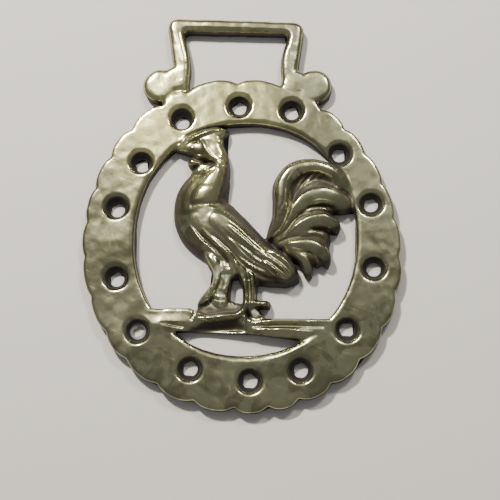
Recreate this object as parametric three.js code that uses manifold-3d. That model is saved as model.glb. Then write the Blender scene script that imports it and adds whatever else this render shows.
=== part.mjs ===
// A horse brass: a scalloped ring with fourteen countersunk holes around a standing cockerel,
// and a strap loop on top, cast in one piece. Millimetres, +Z out of the face, +Y to the loop.
// The part lies on its flat back, and its origin is under the middle of its outline.
import * as THREE from 'three';
import { mergeVertices } from 'three/addons/utils/BufferGeometryUtils.js';
import Module from 'manifold-3d';

// Ring: the cusps between its scallops lie on a circle pulled a little out of round
const RING_RADIUS = 36.8;
const RING_SHIFT = 0.53;
const RING_SHIFT_ANGLE = 150;
const RING_STRETCH = 1.27;
const RING_STRETCH_ANGLE = 107;
const RING_SHOULDER = 0.48;
const RING_SHOULDER_ANGLE = -26;
const PLATE_THICKNESS = 3.0;
const RIM_ROUNDING = 0.8;
const RIM_ROUNDING_STEPS = 2;

// Scallops, deepest at the top and the bottom; their cusps as directions in degrees from +X
const SCALLOP_DEPTH = 0.95;
const SCALLOP_SWING = 0.35;
const SCALLOP_SWING_ANGLE = 100;
const SCALLOP_SQUARENESS = 2.6;
const SCALLOP_STEPS = 5;
const CUSP_ANGLES = [
  -92, -80.5, -70, -58, -45.5, -32, -19, -6, 8.5,
  22.6, 36, 48.5, 60, 73.5, 92, 110, 120, 133.5,
  146, 159, 172, 185, 200, 214, 226, 240, 254,
];

// Opening: a slightly squared oval, and the width of the ring around it
const BAND_LEFT = 12.2;
const BAND_RIGHT = 10.8;
const BAND_TOP = 8.3;
const BAND_BOTTOM = 11.0;
const OPENING_SQUARENESS = 2.12;
const OPENING_STEPS = 80;

// Holes: direction, distance in from the cusps, and how far the throat leans along +Y
const HOLE_RIM_RADIUS = 2.95;
const HOLE_THROAT_RADIUS = 1.65;
const HOLE_CONE_DEPTH = 2.1;
const CUTTER_CLEARANCE = 1.0;
const HOLE_SIDES = 16;
const HOLES = [
  { angle: 115.6, inset: 5.3, lean: -0.8 },
  { angle: 91.6, inset: 5.8, lean: 0.2 },
  { angle: 70.0, inset: 3.9, lean: 0.2 },
  { angle: 42.5, inset: 5.0, lean: 0.6 },
  { angle: 16.4, inset: 4.2, lean: 0.3 },
  { angle: -11.8, inset: 5.6, lean: 0.1 },
  { angle: -40.5, inset: 6.2, lean: 0.4 },
  { angle: -65.5, inset: 5.5, lean: 0.2 },
  { angle: -86.3, inset: 5.7, lean: 0.2 },
  { angle: -111.5, inset: 6.0, lean: 0.3 },
  { angle: -138.9, inset: 5.8, lean: 0, flash: true },
  { angle: -164.4, inset: 6.5, lean: -0.2 },
  { angle: 163.5, inset: 6.1, lean: -0.5 },
  { angle: 140.6, inset: 6.9, lean: -0.5 },
];

// One hole is nearly closed by a thin skin of metal with a ragged slot in it
const FLASH_THICKNESS = 0.9;
const FLASH_THROAT_WALL = 0.1;
const FLASH_SLOT_LENGTH = 1.2;
const FLASH_SLOT_WIDTH = 0.55;
const FLASH_SLOT_TEETH = 5;
const FLASH_SLOT_BITE = 0.6;
const FLASH_SLOT_ANGLE = 35;

// Strap loop: its reach is over the ring's cusps, and its legs are pinched at their waist
const LOOP_TOP_WIDTH = 33.4;
const LOOP_FOOT_WIDTH = 28.2;
const LOOP_OFFSET = -1.9;
const LOOP_REACH = 16.35;
const LOOP_SLOPE = 3.2;
const LOOP_BAR = 3.3;
const LOOP_LEG = 4.1;
const LOOP_WAIST = 7.5;
const LOOP_WAIST_ROUNDING = 3.0;
const LOOP_PINCH = 0.5;
const LOOP_FLARE = 1.2;
const LOOP_ROOT = 2.0;
const LOOP_THICKNESS = 3.3;
const LOOP_ROUNDING = 1.2;
const LOOP_ROUNDING_STEPS = 3;
const LOOP_CORNER = 3.2;
const LOOP_INNER_CORNER = 1.2;

// Round lobes at the feet of the loop
const LOBE_RADIUS = 4.2;
const LOBE_LEFT_OUT = 3.7;
const LOBE_LEFT_UP = 0.0;
const LOBE_RIGHT_OUT = 4.6;
const LOBE_RIGHT_UP = -1.0;
const LOBE_RISE = 0.1;
const LOBE_ROUNDING = 1.3;

// Relief of the cockerel and its ground over the face of the ring
const RELIEF = 2.4;
const FIGURE_SIDES = 12;
const FIGURE_STEPS_PER_ROW = 2;
const FIGURE_SQUARENESS = 2.5;
const TIP_ROUNDING = 6;
const WING_FEATHERS = 5;
const WING_FEATHER_WIDTH = 2.1;
const WING_FEATHER_TAPER = 1 / 3;
const WING_RISE = 1.15;
const WING_TIP_RISE = 0.65;
const GROUND_ROUNDING = 0.4;

// Everything reaches below the back by this much before the back is trimmed flat
const BELOW_BACK = 2 * (PLATE_THICKNESS + RELIEF);
const TRIM_SPAN = 4 * (RING_RADIUS + LOOP_REACH);

const CURVE_STEPS = 6;
const MERGE_TOLERANCE = 1e-4;

const BRASS_COLOUR = 0x97946b;
const BRASS_ROUGHNESS = 0.32;
const BRASS_METALNESS = 1.0;

const radians = THREE.MathUtils.degToRad;
const wasm = await Module();
wasm.setup();

function solidOf(geometry) {
  geometry.deleteAttribute('normal');
  geometry.deleteAttribute('uv');
  const merged = mergeVertices(geometry, MERGE_TOLERANCE);
  return new wasm.Manifold(new wasm.Mesh({
    numProp: 3,
    vertProperties: new Float32Array(merged.attributes.position.array),
    triVerts: new Uint32Array(merged.index.array),
  }));
}

function geometryOf(solid) {
  const mesh = solid.getMesh();
  const geometry = new THREE.BufferGeometry();
  geometry.setAttribute('position', new THREE.BufferAttribute(new Float32Array(mesh.vertProperties), 3));
  geometry.setIndex(new THREE.BufferAttribute(new Uint32Array(mesh.triVerts), 1));
  geometry.computeVertexNormals();
  return geometry;
}

// A flat plate with a rounded upper edge; it reaches below the back and is trimmed there later
function plate(shape, thickness, rounding, roundingSteps) {
  const geometry = new THREE.ExtrudeGeometry(shape, {
    depth: thickness - rounding + BELOW_BACK / 2,
    bevelThickness: rounding,
    bevelSize: rounding,
    bevelOffset: -rounding,
    bevelSegments: roundingSteps,
    curveSegments: CURVE_STEPS,
  });
  geometry.translate(0, 0, -BELOW_BACK / 2);
  return solidOf(geometry);
}

// Ring
function cuspRadius(angle) {
  return RING_RADIUS
    + RING_SHIFT * Math.cos(angle - radians(RING_SHIFT_ANGLE))
    + RING_STRETCH * Math.cos(2 * (angle - radians(RING_STRETCH_ANGLE)))
    + RING_SHOULDER * Math.cos(3 * (angle - radians(RING_SHOULDER_ANGLE)));
}

function scallopDepth(angle) {
  return SCALLOP_DEPTH + SCALLOP_SWING * Math.cos(2 * (angle - radians(SCALLOP_SWING_ANGLE)));
}

function ringOutline() {
  const points = [];
  CUSP_ANGLES.forEach((start, index) => {
    const isLast = index === CUSP_ANGLES.length - 1;
    const end = isLast ? CUSP_ANGLES[0] + 360 : CUSP_ANGLES[index + 1];
    for (let step = 0; step < SCALLOP_STEPS; step += 1) {
      const along = step / SCALLOP_STEPS;
      const angle = radians(start + (end - start) * along);
      const swell = 1 - Math.abs(2 * along - 1) ** SCALLOP_SQUARENESS;
      const radius = cuspRadius(angle) + scallopDepth(angle) * swell;
      points.push(new THREE.Vector2(radius * Math.cos(angle), radius * Math.sin(angle)));
    }
  });
  return points;
}

const OPENING_HALF_WIDTH = RING_RADIUS - (BAND_LEFT + BAND_RIGHT) / 2;
const OPENING_HALF_HEIGHT = RING_RADIUS - (BAND_TOP + BAND_BOTTOM) / 2;
const OPENING_X = (BAND_LEFT - BAND_RIGHT) / 2;
const OPENING_Y = (BAND_BOTTOM - BAND_TOP) / 2;

function squared(value, squareness) {
  return Math.sign(value) * Math.abs(value) ** (2 / squareness);
}

function openingOutline() {
  return Array.from({ length: OPENING_STEPS }, (_, step) => {
    const turn = 2 * Math.PI * step / OPENING_STEPS;
    return new THREE.Vector2(
      OPENING_X + OPENING_HALF_WIDTH * squared(Math.cos(turn), OPENING_SQUARENESS),
      OPENING_Y + OPENING_HALF_HEIGHT * squared(Math.sin(turn), OPENING_SQUARENESS),
    );
  });
}

function ring() {
  const shape = new THREE.Shape(ringOutline());
  shape.holes.push(new THREE.Path(openingOutline()));
  return plate(shape, PLATE_THICKNESS, RIM_ROUNDING, RIM_ROUNDING_STEPS);
}

// Holes: a round throat that opens into a cone
function holeCutter(hole) {
  const angle = radians(hole.angle);
  const radius = cuspRadius(angle) - hole.inset;
  const floor = hole.flash ? FLASH_THICKNESS : -CUTTER_CLEARANCE;
  const coneFoot = PLATE_THICKNESS - HOLE_CONE_DEPTH;
  const profile = [
    new THREE.Vector2(0, floor),
    new THREE.Vector2(HOLE_THROAT_RADIUS, floor),
    new THREE.Vector2(HOLE_THROAT_RADIUS, Math.max(coneFoot, floor + FLASH_THROAT_WALL)),
    new THREE.Vector2(HOLE_RIM_RADIUS, PLATE_THICKNESS),
    new THREE.Vector2(HOLE_RIM_RADIUS, PLATE_THICKNESS + CUTTER_CLEARANCE),
    new THREE.Vector2(0, PLATE_THICKNESS + CUTTER_CLEARANCE),
  ];
  const geometry = new THREE.LatheGeometry(profile, HOLE_SIDES);
  geometry.rotateX(Math.PI / 2);
  const position = geometry.attributes.position;
  for (let index = 0; index < position.count; index += 1) {
    const depth = Math.max(0, 1 - Math.max(position.getZ(index), 0) / PLATE_THICKNESS);
    position.setY(index, position.getY(index) + hole.lean * depth);
  }
  geometry.translate(radius * Math.cos(angle), radius * Math.sin(angle), 0);
  return solidOf(geometry);
}

function flashSlotCutter(hole) {
  const angle = radians(hole.angle);
  const radius = cuspRadius(angle) - hole.inset;
  const points = [];
  for (let tooth = 0; tooth < 2 * FLASH_SLOT_TEETH; tooth += 1) {
    const turn = Math.PI * tooth / FLASH_SLOT_TEETH;
    const reach = tooth % 2 ? 1 : FLASH_SLOT_BITE;
    points.push(new THREE.Vector2(
      FLASH_SLOT_LENGTH * reach * Math.cos(turn),
      FLASH_SLOT_WIDTH * reach * Math.sin(turn),
    ));
  }
  const geometry = new THREE.ExtrudeGeometry(new THREE.Shape(points), {
    depth: FLASH_THICKNESS + 2 * CUTTER_CLEARANCE,
    bevelEnabled: false,
  });
  geometry.translate(0, 0, -CUTTER_CLEARANCE);
  geometry.rotateZ(radians(FLASH_SLOT_ANGLE));
  geometry.translate(radius * Math.cos(angle), radius * Math.sin(angle), 0);
  return solidOf(geometry);
}

// A closed outline through corners, each rounded by its own radius
function roundedShape(corners) {
  const shape = new THREE.Shape();
  corners.forEach((corner, index) => {
    const before = corners[(index + corners.length - 1) % corners.length];
    const after = corners[(index + 1) % corners.length];
    const here = new THREE.Vector2(corner.x, corner.y);
    const toBefore = new THREE.Vector2(before.x, before.y).sub(here).normalize();
    const toAfter = new THREE.Vector2(after.x, after.y).sub(here).normalize();
    const start = here.clone().addScaledVector(toBefore, corner.round);
    const end = here.clone().addScaledVector(toAfter, corner.round);
    if (index === 0) {
      shape.moveTo(start.x, start.y);
    } else {
      shape.lineTo(start.x, start.y);
    }
    if (corner.round > 0) {
      shape.quadraticCurveTo(here.x, here.y, end.x, end.y);
    }
  });
  shape.closePath();
  return shape;
}

// Strap loop: a trapezoid frame, open at its foot where it runs into the ring
const LOOP_FOOT_Y = cuspRadius(Math.PI / 2) - LOOP_ROOT;
const LOOP_TOP_Y = cuspRadius(Math.PI / 2) + LOOP_REACH;

function loopTopY(x) {
  return LOOP_TOP_Y - (x - LOOP_OFFSET) * Math.tan(radians(LOOP_SLOPE));
}

function loopLeg(side) {
  const top = LOOP_OFFSET + side * LOOP_TOP_WIDTH / 2;
  const foot = LOOP_OFFSET + side * LOOP_FOOT_WIDTH / 2;
  const waistY = LOOP_FOOT_Y + LOOP_WAIST;
  const waist = foot + (top - foot) * LOOP_WAIST / (LOOP_TOP_Y - LOOP_FOOT_Y);
  const innerTop = top - side * LOOP_LEG;
  return {
    outerFoot: { x: foot, y: LOOP_FOOT_Y, round: 0 },
    outerTop: { x: top, y: loopTopY(top), round: LOOP_CORNER },
    innerTop: { x: innerTop, y: loopTopY(innerTop) - LOOP_BAR, round: LOOP_INNER_CORNER },
    waist: { x: waist - side * (LOOP_LEG + LOOP_PINCH), y: waistY, round: LOOP_WAIST_ROUNDING },
    innerFoot: { x: foot - side * (LOOP_LEG - LOOP_FLARE), y: LOOP_FOOT_Y, round: 0 },
  };
}

function strapLoop() {
  const left = loopLeg(-1);
  const right = loopLeg(1);
  return plate(roundedShape([
    left.outerFoot, left.innerFoot, left.waist, left.innerTop,
    right.innerTop, right.waist, right.innerFoot, right.outerFoot,
    right.outerTop, left.outerTop,
  ]), LOOP_THICKNESS, LOOP_ROUNDING, LOOP_ROUNDING_STEPS);
}

// A rounded body along a curve: each row holds x, y, half width and height over the back
function sweep(rows) {
  const line = new THREE.CatmullRomCurve3(rows.map(([x, y]) => new THREE.Vector3(x, y, 0)));
  const sizes = new THREE.CatmullRomCurve3(rows.map(([, , w, h]) => new THREE.Vector3(w, h, 0)));
  const geometry = new THREE.SphereGeometry(1, FIGURE_SIDES, FIGURE_STEPS_PER_ROW * rows.length);
  const { position, uv } = geometry.attributes;
  for (let index = 0; index < position.count; index += 1) {
    const turn = 2 * Math.PI * uv.getX(index);
    const along = (1 - Math.cos(Math.PI * uv.getY(index))) / 2;
    const tip = Math.sqrt(Math.max(0, 1 - Math.abs(2 * along - 1) ** TIP_ROUNDING));
    const centre = line.getPoint(along);
    const heading = line.getTangent(along);
    const size = sizes.getPoint(along);
    const across = size.x * tip * squared(Math.cos(turn), FIGURE_SQUARENESS);
    const up = size.y * tip * squared(Math.sin(turn), FIGURE_SQUARENESS);
    position.setXYZ(index, centre.x - heading.y * across, centre.y + heading.x * across, up);
  }
  const solid = solidOf(geometry);
  return solid.volume() > 0 ? solid : solidOf(flipped(geometry));
}

function flipped(geometry) {
  const faces = geometry.index;
  for (let index = 0; index < faces.count; index += 3) {
    const second = faces.getX(index + 1);
    faces.setX(index + 1, faces.getX(index + 2));
    faces.setX(index + 2, second);
  }
  return geometry;
}

// Lobes at the feet of the loop
function lobe(side, out, up) {
  const shape = new THREE.Shape();
  const x = LOOP_OFFSET + side * (LOOP_FOOT_WIDTH / 2 + out);
  const y = LOOP_FOOT_Y + LOOP_ROOT + up;
  shape.absarc(x, y, LOBE_RADIUS, 0, 2 * Math.PI);
  return plate(shape, PLATE_THICKNESS + LOBE_RISE, LOBE_ROUNDING, LOOP_ROUNDING_STEPS);
}

// The cockerel is drawn in hundredths of the opening's height, from the opening's middle.
// Each row holds place across, place up, half width, and rise over the ring's face, where
// 1 is the full relief.
const SHARE = OPENING_HALF_HEIGHT / 50;

function figureSweep(rows) {
  return sweep(rows.map(([across, up, halfWidth, rise]) => [
    OPENING_X + across * SHARE,
    OPENING_Y + up * SHARE,
    halfWidth * SHARE,
    PLATE_THICKNESS + rise * RELIEF,
  ]));
}

const BODY = [
  [-14, 32.5, 6.3, 0.6], [-14.5, 26, 9, 0.7], [-18.5, 16, 11.8, 0.9], [-16, 6.5, 13.4, 1],
  [-7.5, -1, 12.3, 1], [1.5, -8, 10.3, 0.9], [10, -13, 8.5, 0.75], [17, -16.5, 5.9, 0.6],
  [22.5, -19, 4.8, 0.25],
];

const HEAD = [
  // skull, comb and the point behind the comb
  [[-8.5, 29, 3.3, 0.6], [-12.5, 35, 5.7, 0.7], [-17, 41, 5.9, 0.6], [-21, 46.5, 4.1, 0.2]],
  [[-32, 40, 1.5, 0.1], [-25.5, 43, 2.4, 0.4], [-19, 46, 2.8, 0.45], [-12, 47, 2.8, 0.4],
    [-5.5, 47.5, 1.7, 0.1]],
  [[-18, 43, 2.9, 0.5], [-12.5, 43.5, 2.9, 0.4], [-5.5, 47, 1.7, 0.15]],
  // beak, wattle and throat
  [[-15, 35.5, 3.3, 0.6], [-21, 38.5, 4.1, 0.5], [-25, 39, 2.8, 0.25], [-29.5, 39, 1.7, 0]],
  [[-16, 35.5, 2.2, 0.4], [-21, 34, 3.1, 0.4], [-25, 33, 2.2, 0.1]],
  [[-13.5, 31.5, 2.2, 0.6], [-18.5, 29, 3.1, 0.55], [-23.5, 26.5, 1.8, 0.2]],
];

const LEGS = [
  // front leg and its toes
  [[-19, -1.5, 2, 0.8], [-12.5, -7.5, 2.6, 0.8], [-11, -14.5, 2, 0.6], [-12, -20, 1.8, 0.5],
    [-15.5, -25, 2, 0.45], [-20, -30, 1.7, 0.25]],
  [[-13.5, -24, 1.7, 0.35], [-10, -26, 1.8, 0.25], [-5.5, -27.5, 1.5, 0.1]],
  // rear leg, its shank, spur and hind toe
  [[-8, -5.5, 2.6, 0.9], [-3, -13, 2.9, 0.8], [0, -19, 2.4, 0.6], [1, -24, 2.2, 0.55],
    [0.5, -28.5, 2.2, 0.5], [-2.5, -34, 1.7, 0.45]],
  [[0, -14, 1.8, 0.7], [3, -19, 1.8, 0.55], [3.5, -23.5, 1.8, 0.45], [3, -29, 1.7, 0.4],
    [1, -35.5, 1.5, 0.2]],
  [[1.5, -28.5, 1.7, 0.4], [6.5, -29, 1.7, 0.3], [11, -29, 2, 0.2]],
  [[1, -29.5, 1.5, 0.2], [4, -32.5, 1.8, 0.15], [8.5, -35.5, 1.1, 0.05]],
  // metal left behind the front leg, between the thighs and around the feet
  [[-10.5, -13, 3, 0.25], [-9.5, -19, 2.8, 0.2], [-11.5, -25, 3, 0.1], [-14, -30, 2.5, 0.05]],
  [[-8.5, -10.5, 4.1, 0.25], [-7, -16, 3.5, 0.15], [-5.5, -20.5, 2.2, 0.05]],
  [[-19.5, -31, 1.8, 0.05], [-10.5, -29.5, 3.5, 0.05], [-3, -30.5, 3.1, -0.05],
    [1.5, -31, 1.8, 0.05]],
];

const TAIL = [
  // tall outer sickle feather, which runs up and over into the ring
  [[8.5, -3, 1.8, 0.55], [13.5, 4, 2.8, 0.7], [15.5, 13, 3.5, 0.85], [16, 21.5, 4.2, 0.9],
    [21, 28.5, 3.9, 0.9], [29, 30.5, 3.1, 0.75], [37.5, 27.5, 3.1, 0.6], [42.5, 22, 2.8, 0.4],
    [45.5, 17, 2.2, 0.15]],
  // small feathers inside its bend
  [[18.5, 13, 1.8, 0.4], [21, 20.5, 2, 0.5], [27.5, 27.5, 2, 0.45]],
  [[21, 16, 2, 0.45], [25.5, 22.5, 2.2, 0.6], [32, 26, 2, 0.5], [38.5, 23.5, 1.8, 0.35]],
  // second sickle feather, which also meets the ring
  [[11, -2, 1.8, 0.6], [17.5, 5, 2.6, 0.75], [22, 11.5, 3.3, 0.9], [27.5, 16.5, 3.9, 0.9],
    [34.5, 17.5, 4.1, 0.8], [40.5, 14.5, 4.4, 0.55], [46, 11.5, 2.8, 0.15]],
  [[19, 7, 1.7, 0.5], [25.5, 11, 1.8, 0.55], [33, 12, 1.8, 0.45], [38, 10, 1.5, 0.15]],
  // feathers with free tips, from the middle down to the rump
  [[12.5, -2.5, 1.8, 0.6], [19, 2.5, 2.4, 0.75], [25, 6.5, 2.9, 0.9], [32, 8, 3.5, 0.85],
    [37, 5.5, 3.1, 0.65], [38.5, 1, 2, 0.25]],
  [[16.5, -2, 1.7, 0.6], [22.5, 1, 2, 0.65], [29, 2, 2, 0.6], [33.5, 0, 2, 0.35], [34.5, -4, 1.5, 0.1]],
  [[13.5, -4.5, 1.8, 0.6], [21, -3, 2.4, 0.8], [27.5, -4, 2.8, 0.85], [32.5, -7, 2.8, 0.7],
    [34.5, -13.5, 1.8, 0.25]],
  [[15.5, -5.5, 1.7, 0.55], [21, -7.5, 2.2, 0.65], [25, -11, 2.4, 0.65], [27, -18.5, 2, 0.3]],
  [[21.5, -6, 1.7, 0.45], [28.5, -8.5, 1.8, 0.45], [31, -13, 1.7, 0.15]],
  // bed that the feathers lie on
  [[9, -3, 2.6, 0], [19, 9.5, 7.4, 0.1], [27, 19, 11.4, 0.1], [36, 24.5, 9.2, 0.1], [44, 26.5, 4.4, 0]],
  [[11.5, -3.5, 2.8, 0], [21.5, -1.5, 7, 0], [30.5, -1.5, 8.5, 0], [36, -1.5, 4.4, 0]],
];

// Wing feathers lie side by side between the wing's upper and lower edge
const WING_UPPER = [[-15, 12], [-6, 6], [2.5, -0.5], [11.5, -8], [21, -14.5]];
const WING_LOWER = [[-22, 5], [-14.5, -1.5], [-5, -10], [5, -16], [18, -20]];

function wingFeathers() {
  return Array.from({ length: WING_FEATHERS }, (_, feather) => {
    const down = (feather + 0.5) / WING_FEATHERS;
    return WING_UPPER.map(([across, up], index) => {
      const [lowAcross, lowUp] = WING_LOWER[index];
      const toTip = index / (WING_UPPER.length - 1);
      return [
        across + (lowAcross - across) * down,
        up + (lowUp - up) * down,
        WING_FEATHER_WIDTH * (1 - WING_FEATHER_TAPER * toTip),
        WING_RISE + (WING_TIP_RISE - WING_RISE) * toTip ** 2,
      ];
    });
  });
}

// Ground: a bar across the foot of the opening, with a crest under the feet and two ridges
const GROUND_OUTLINE = [
  [-45.5, -30.5, 0], [-22.5, -30.2, 0], [-16, -33.5, 4], [2, -34.6, 0], [36, -35, 0],
  [44, -37, 0], [30, -44.4, 0], [2, -41, 0], [-28, -40, 0], [-45.5, -39.8, 0],
];
const GROUND_RIDGES = [
  [[-22.5, -35, 1.7, 0.2], [-15, -36.5, 3.5, 0.5], [-7, -36.5, 3.7, 0.55], [-0.5, -35.5, 2.8, 0.4],
    [3.5, -38, 1.5, 0.1]],
  [[1, -36, 1.5, 0.2], [11.5, -36, 1.7, 0.3], [22.5, -36.5, 1.7, 0.25], [33, -36.5, 1.3, 0.1]],
  [[2.5, -39.5, 1.3, 0.15], [13.5, -39.5, 1.5, 0.2], [26.5, -41, 1.3, 0.1]],
];

function ground() {
  const corners = GROUND_OUTLINE.map(([across, up, round]) => ({
    x: OPENING_X + across * SHARE,
    y: OPENING_Y + up * SHARE,
    round: round * SHARE,
  }));
  return plate(roundedShape(corners), PLATE_THICKNESS, GROUND_ROUNDING, RIM_ROUNDING_STEPS);
}

// Everything is joined, the holes are cut, and the back is trimmed flat
function brassSolid() {
  const figures = [BODY, ...HEAD, ...LEGS, ...TAIL, ...GROUND_RIDGES, ...wingFeathers()];
  const pieces = [
    ring(),
    strapLoop(),
    lobe(-1, LOBE_LEFT_OUT, LOBE_LEFT_UP),
    lobe(1, LOBE_RIGHT_OUT, LOBE_RIGHT_UP),
    ground(),
    ...figures.map(figureSweep),
  ];
  const joined = pieces.reduce((whole, piece) => whole.add(piece));
  const flash = HOLES.filter((hole) => hole.flash);
  const cutters = [...HOLES.map(holeCutter), ...flash.map(flashSlotCutter)];
  const below = new THREE.BoxGeometry(TRIM_SPAN, TRIM_SPAN, BELOW_BACK);
  below.translate(0, 0, -BELOW_BACK / 2);
  return cutters.reduce((whole, cutter) => whole.subtract(cutter), joined).subtract(solidOf(below));
}

const brass = new THREE.MeshStandardMaterial({
  color: BRASS_COLOUR,
  roughness: BRASS_ROUGHNESS,
  metalness: BRASS_METALNESS,
});

const horseBrass = new THREE.Mesh(geometryOf(brassSolid()), brass);
horseBrass.name = 'horse_brass';
horseBrass.geometry.computeBoundingBox();
const middle = horseBrass.geometry.boundingBox.getCenter(new THREE.Vector3());
horseBrass.position.set(-middle.x, -middle.y, 0);

const group = new THREE.Group();
group.add(horseBrass);

export default group;
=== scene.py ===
# %% [markdown]
# A horse brass is a flat ornament of cast brass that hangs from a horse's harness. This one is a
# scalloped ring with fourteen countersunk holes. A cockerel stands in relief inside the ring, and
# a loop on top takes the strap. We first load the measured model, which fixes every place.

# %% Load the frame
import math

import bmesh
import bpy
import numpy as np
from mathutils import Matrix, Vector, noise


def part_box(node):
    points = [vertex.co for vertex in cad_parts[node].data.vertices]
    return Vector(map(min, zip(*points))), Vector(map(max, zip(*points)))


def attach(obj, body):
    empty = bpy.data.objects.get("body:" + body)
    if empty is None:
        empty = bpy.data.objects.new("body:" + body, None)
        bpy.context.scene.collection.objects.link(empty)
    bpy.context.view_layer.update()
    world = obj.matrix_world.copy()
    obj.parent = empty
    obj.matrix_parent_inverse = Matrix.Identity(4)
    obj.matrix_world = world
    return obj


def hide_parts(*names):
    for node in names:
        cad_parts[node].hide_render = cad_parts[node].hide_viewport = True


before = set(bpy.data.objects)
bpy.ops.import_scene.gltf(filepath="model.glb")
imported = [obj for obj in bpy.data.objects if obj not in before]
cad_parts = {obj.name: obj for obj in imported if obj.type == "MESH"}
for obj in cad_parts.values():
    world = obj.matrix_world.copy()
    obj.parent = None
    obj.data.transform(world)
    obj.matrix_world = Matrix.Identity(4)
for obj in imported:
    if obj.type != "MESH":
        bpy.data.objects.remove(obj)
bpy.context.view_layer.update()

# %% [markdown]
# The model is drawn in millimetres around the middle of the ring, because that is how a pattern
# maker would mark it out, and it is made into metres at the very end. These are the same sizes as
# the measured model has, so the fine piece lies exactly where the measured one does.

# %% Units and the ring's sizes
MM = 0.001
PLATE = 3.0
RELIEF = 2.4
RING_RADIUS = 36.8
RING_SHIFT, RING_SHIFT_ANGLE = 0.53, math.radians(150)
RING_STRETCH, RING_STRETCH_ANGLE = 1.27, math.radians(107)
RING_SHOULDER, RING_SHOULDER_ANGLE = 0.48, math.radians(-26)
RIM_ROUNDING, INNER_ROUNDING, RIM_SEGMENTS = 0.6, 0.9, 4

SCALLOP_DEPTH, SCALLOP_SWING, SCALLOP_SWING_ANGLE = 0.95, 0.35, math.radians(100)
SCALLOP_SQUARENESS = 2.6
SCALLOP_STEPS = 16
CUSP_ANGLES = [
    -92, -80.5, -70, -58, -45.5, -32, -19, -6, 8.5,
    22.6, 36, 48.5, 60, 73.5, 92, 110, 120, 133.5,
    146, 159, 172, 185, 200, 214, 226, 240, 254,
]

BAND_LEFT, BAND_RIGHT, BAND_TOP, BAND_BOTTOM = 12.2, 10.8, 8.3, 11.0
OPENING_SQUARENESS = 2.12
OPENING_HALF_WIDTH = RING_RADIUS - (BAND_LEFT + BAND_RIGHT) / 2
OPENING_HALF_HEIGHT = RING_RADIUS - (BAND_TOP + BAND_BOTTOM) / 2
OPENING_X = (BAND_LEFT - BAND_RIGHT) / 2
OPENING_Y = (BAND_BOTTOM - BAND_TOP) / 2
print("opening", round(2 * OPENING_HALF_WIDTH, 1), "by", round(2 * OPENING_HALF_HEIGHT, 1), "mm")

# %% [markdown]
# Every body is made in its own bmesh and becomes an object of its own, so that the bodies can be
# joined and cut like wood or wax patterns. One helper turns a bmesh into an object, one raises a
# flat outline into a slab, and one rounds the slab's upper edges, as wear does. Each slab starts
# below the back, which is cut flat later.

# %% Helpers for making bodies
BELOW = -1.0
NEARLY = 1e-4
STEEP = 0.5


def to_object(bm, name):
    bmesh.ops.recalc_face_normals(bm, faces=bm.faces)
    mesh = bpy.data.meshes.new(name)
    bm.to_mesh(mesh)
    bm.free()
    body = bpy.data.objects.new(name, mesh)
    bpy.context.scene.collection.objects.link(body)
    return body


def raise_slab(bm, top, bottom=BELOW):
    """Lifts the flat faces of bm into a slab from bottom to top."""
    raised = bmesh.ops.extrude_face_region(bm, geom=list(bm.faces))["geom"]
    lifted = [item for item in raised if isinstance(item, bmesh.types.BMVert)]
    for vert in bm.verts:
        vert.co.z = bottom
    for vert in lifted:
        vert.co.z = top
    bmesh.ops.recalc_face_normals(bm, faces=bm.faces)


def round_rim(bm, top, rounding, segments, farthest=math.inf):
    """Rounds the slab's upper edges that lie within a distance of the origin."""
    rim = [
        edge for edge in bm.edges
        if all(abs(vert.co.z - top) < NEARLY and vert.co.xy.length < farthest for vert in edge.verts)
        and any(abs(face.normal.z) < STEEP for face in edge.link_faces)
    ]
    bmesh.ops.bevel(
        bm, geom=rim, offset=rounding, segments=segments, profile=0.5,
        affect="EDGES", material=-1,
    )


def squared(value, squareness):
    """Takes a sine or cosine of a circle to that of a squared one."""
    return np.sign(value) * np.abs(value) ** (2 / squareness)


print("slabs start", BELOW, "mm below the flat back")

# %% [markdown]
# The ring is a circle first. Each of its points is then moved out or in: a few slow waves pull it
# slightly out of round, as the old casting is, and a row of small swells makes the scallops. The
# opening is a second circle, squared a little. A bridge between the two circles is the flat ring,
# and an extrusion and a bevel give it its thickness and its worn edge.


# %% The ring
def cusp_radius(angle):
    return (
        RING_RADIUS
        + RING_SHIFT * math.cos(angle - RING_SHIFT_ANGLE)
        + RING_STRETCH * math.cos(2 * (angle - RING_STRETCH_ANGLE))
        + RING_SHOULDER * math.cos(3 * (angle - RING_SHOULDER_ANGLE))
    )


def rim_point(scallop, along):
    start = CUSP_ANGLES[scallop]
    end = CUSP_ANGLES[(scallop + 1) % len(CUSP_ANGLES)]
    span = (end - start) % 360
    angle = math.radians(start + span * along)
    depth = SCALLOP_DEPTH + SCALLOP_SWING * math.cos(2 * (angle - SCALLOP_SWING_ANGLE))
    swell = 1 - abs(2 * along - 1) ** SCALLOP_SQUARENESS
    radius = cusp_radius(angle) + depth * swell
    return Vector((radius * math.cos(angle), radius * math.sin(angle), 0))


def opening_point(turn):
    return Vector((
        OPENING_X + OPENING_HALF_WIDTH * squared(math.cos(turn), OPENING_SQUARENESS),
        OPENING_Y + OPENING_HALF_HEIGHT * squared(math.sin(turn), OPENING_SQUARENESS),
        0,
    ))


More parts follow.
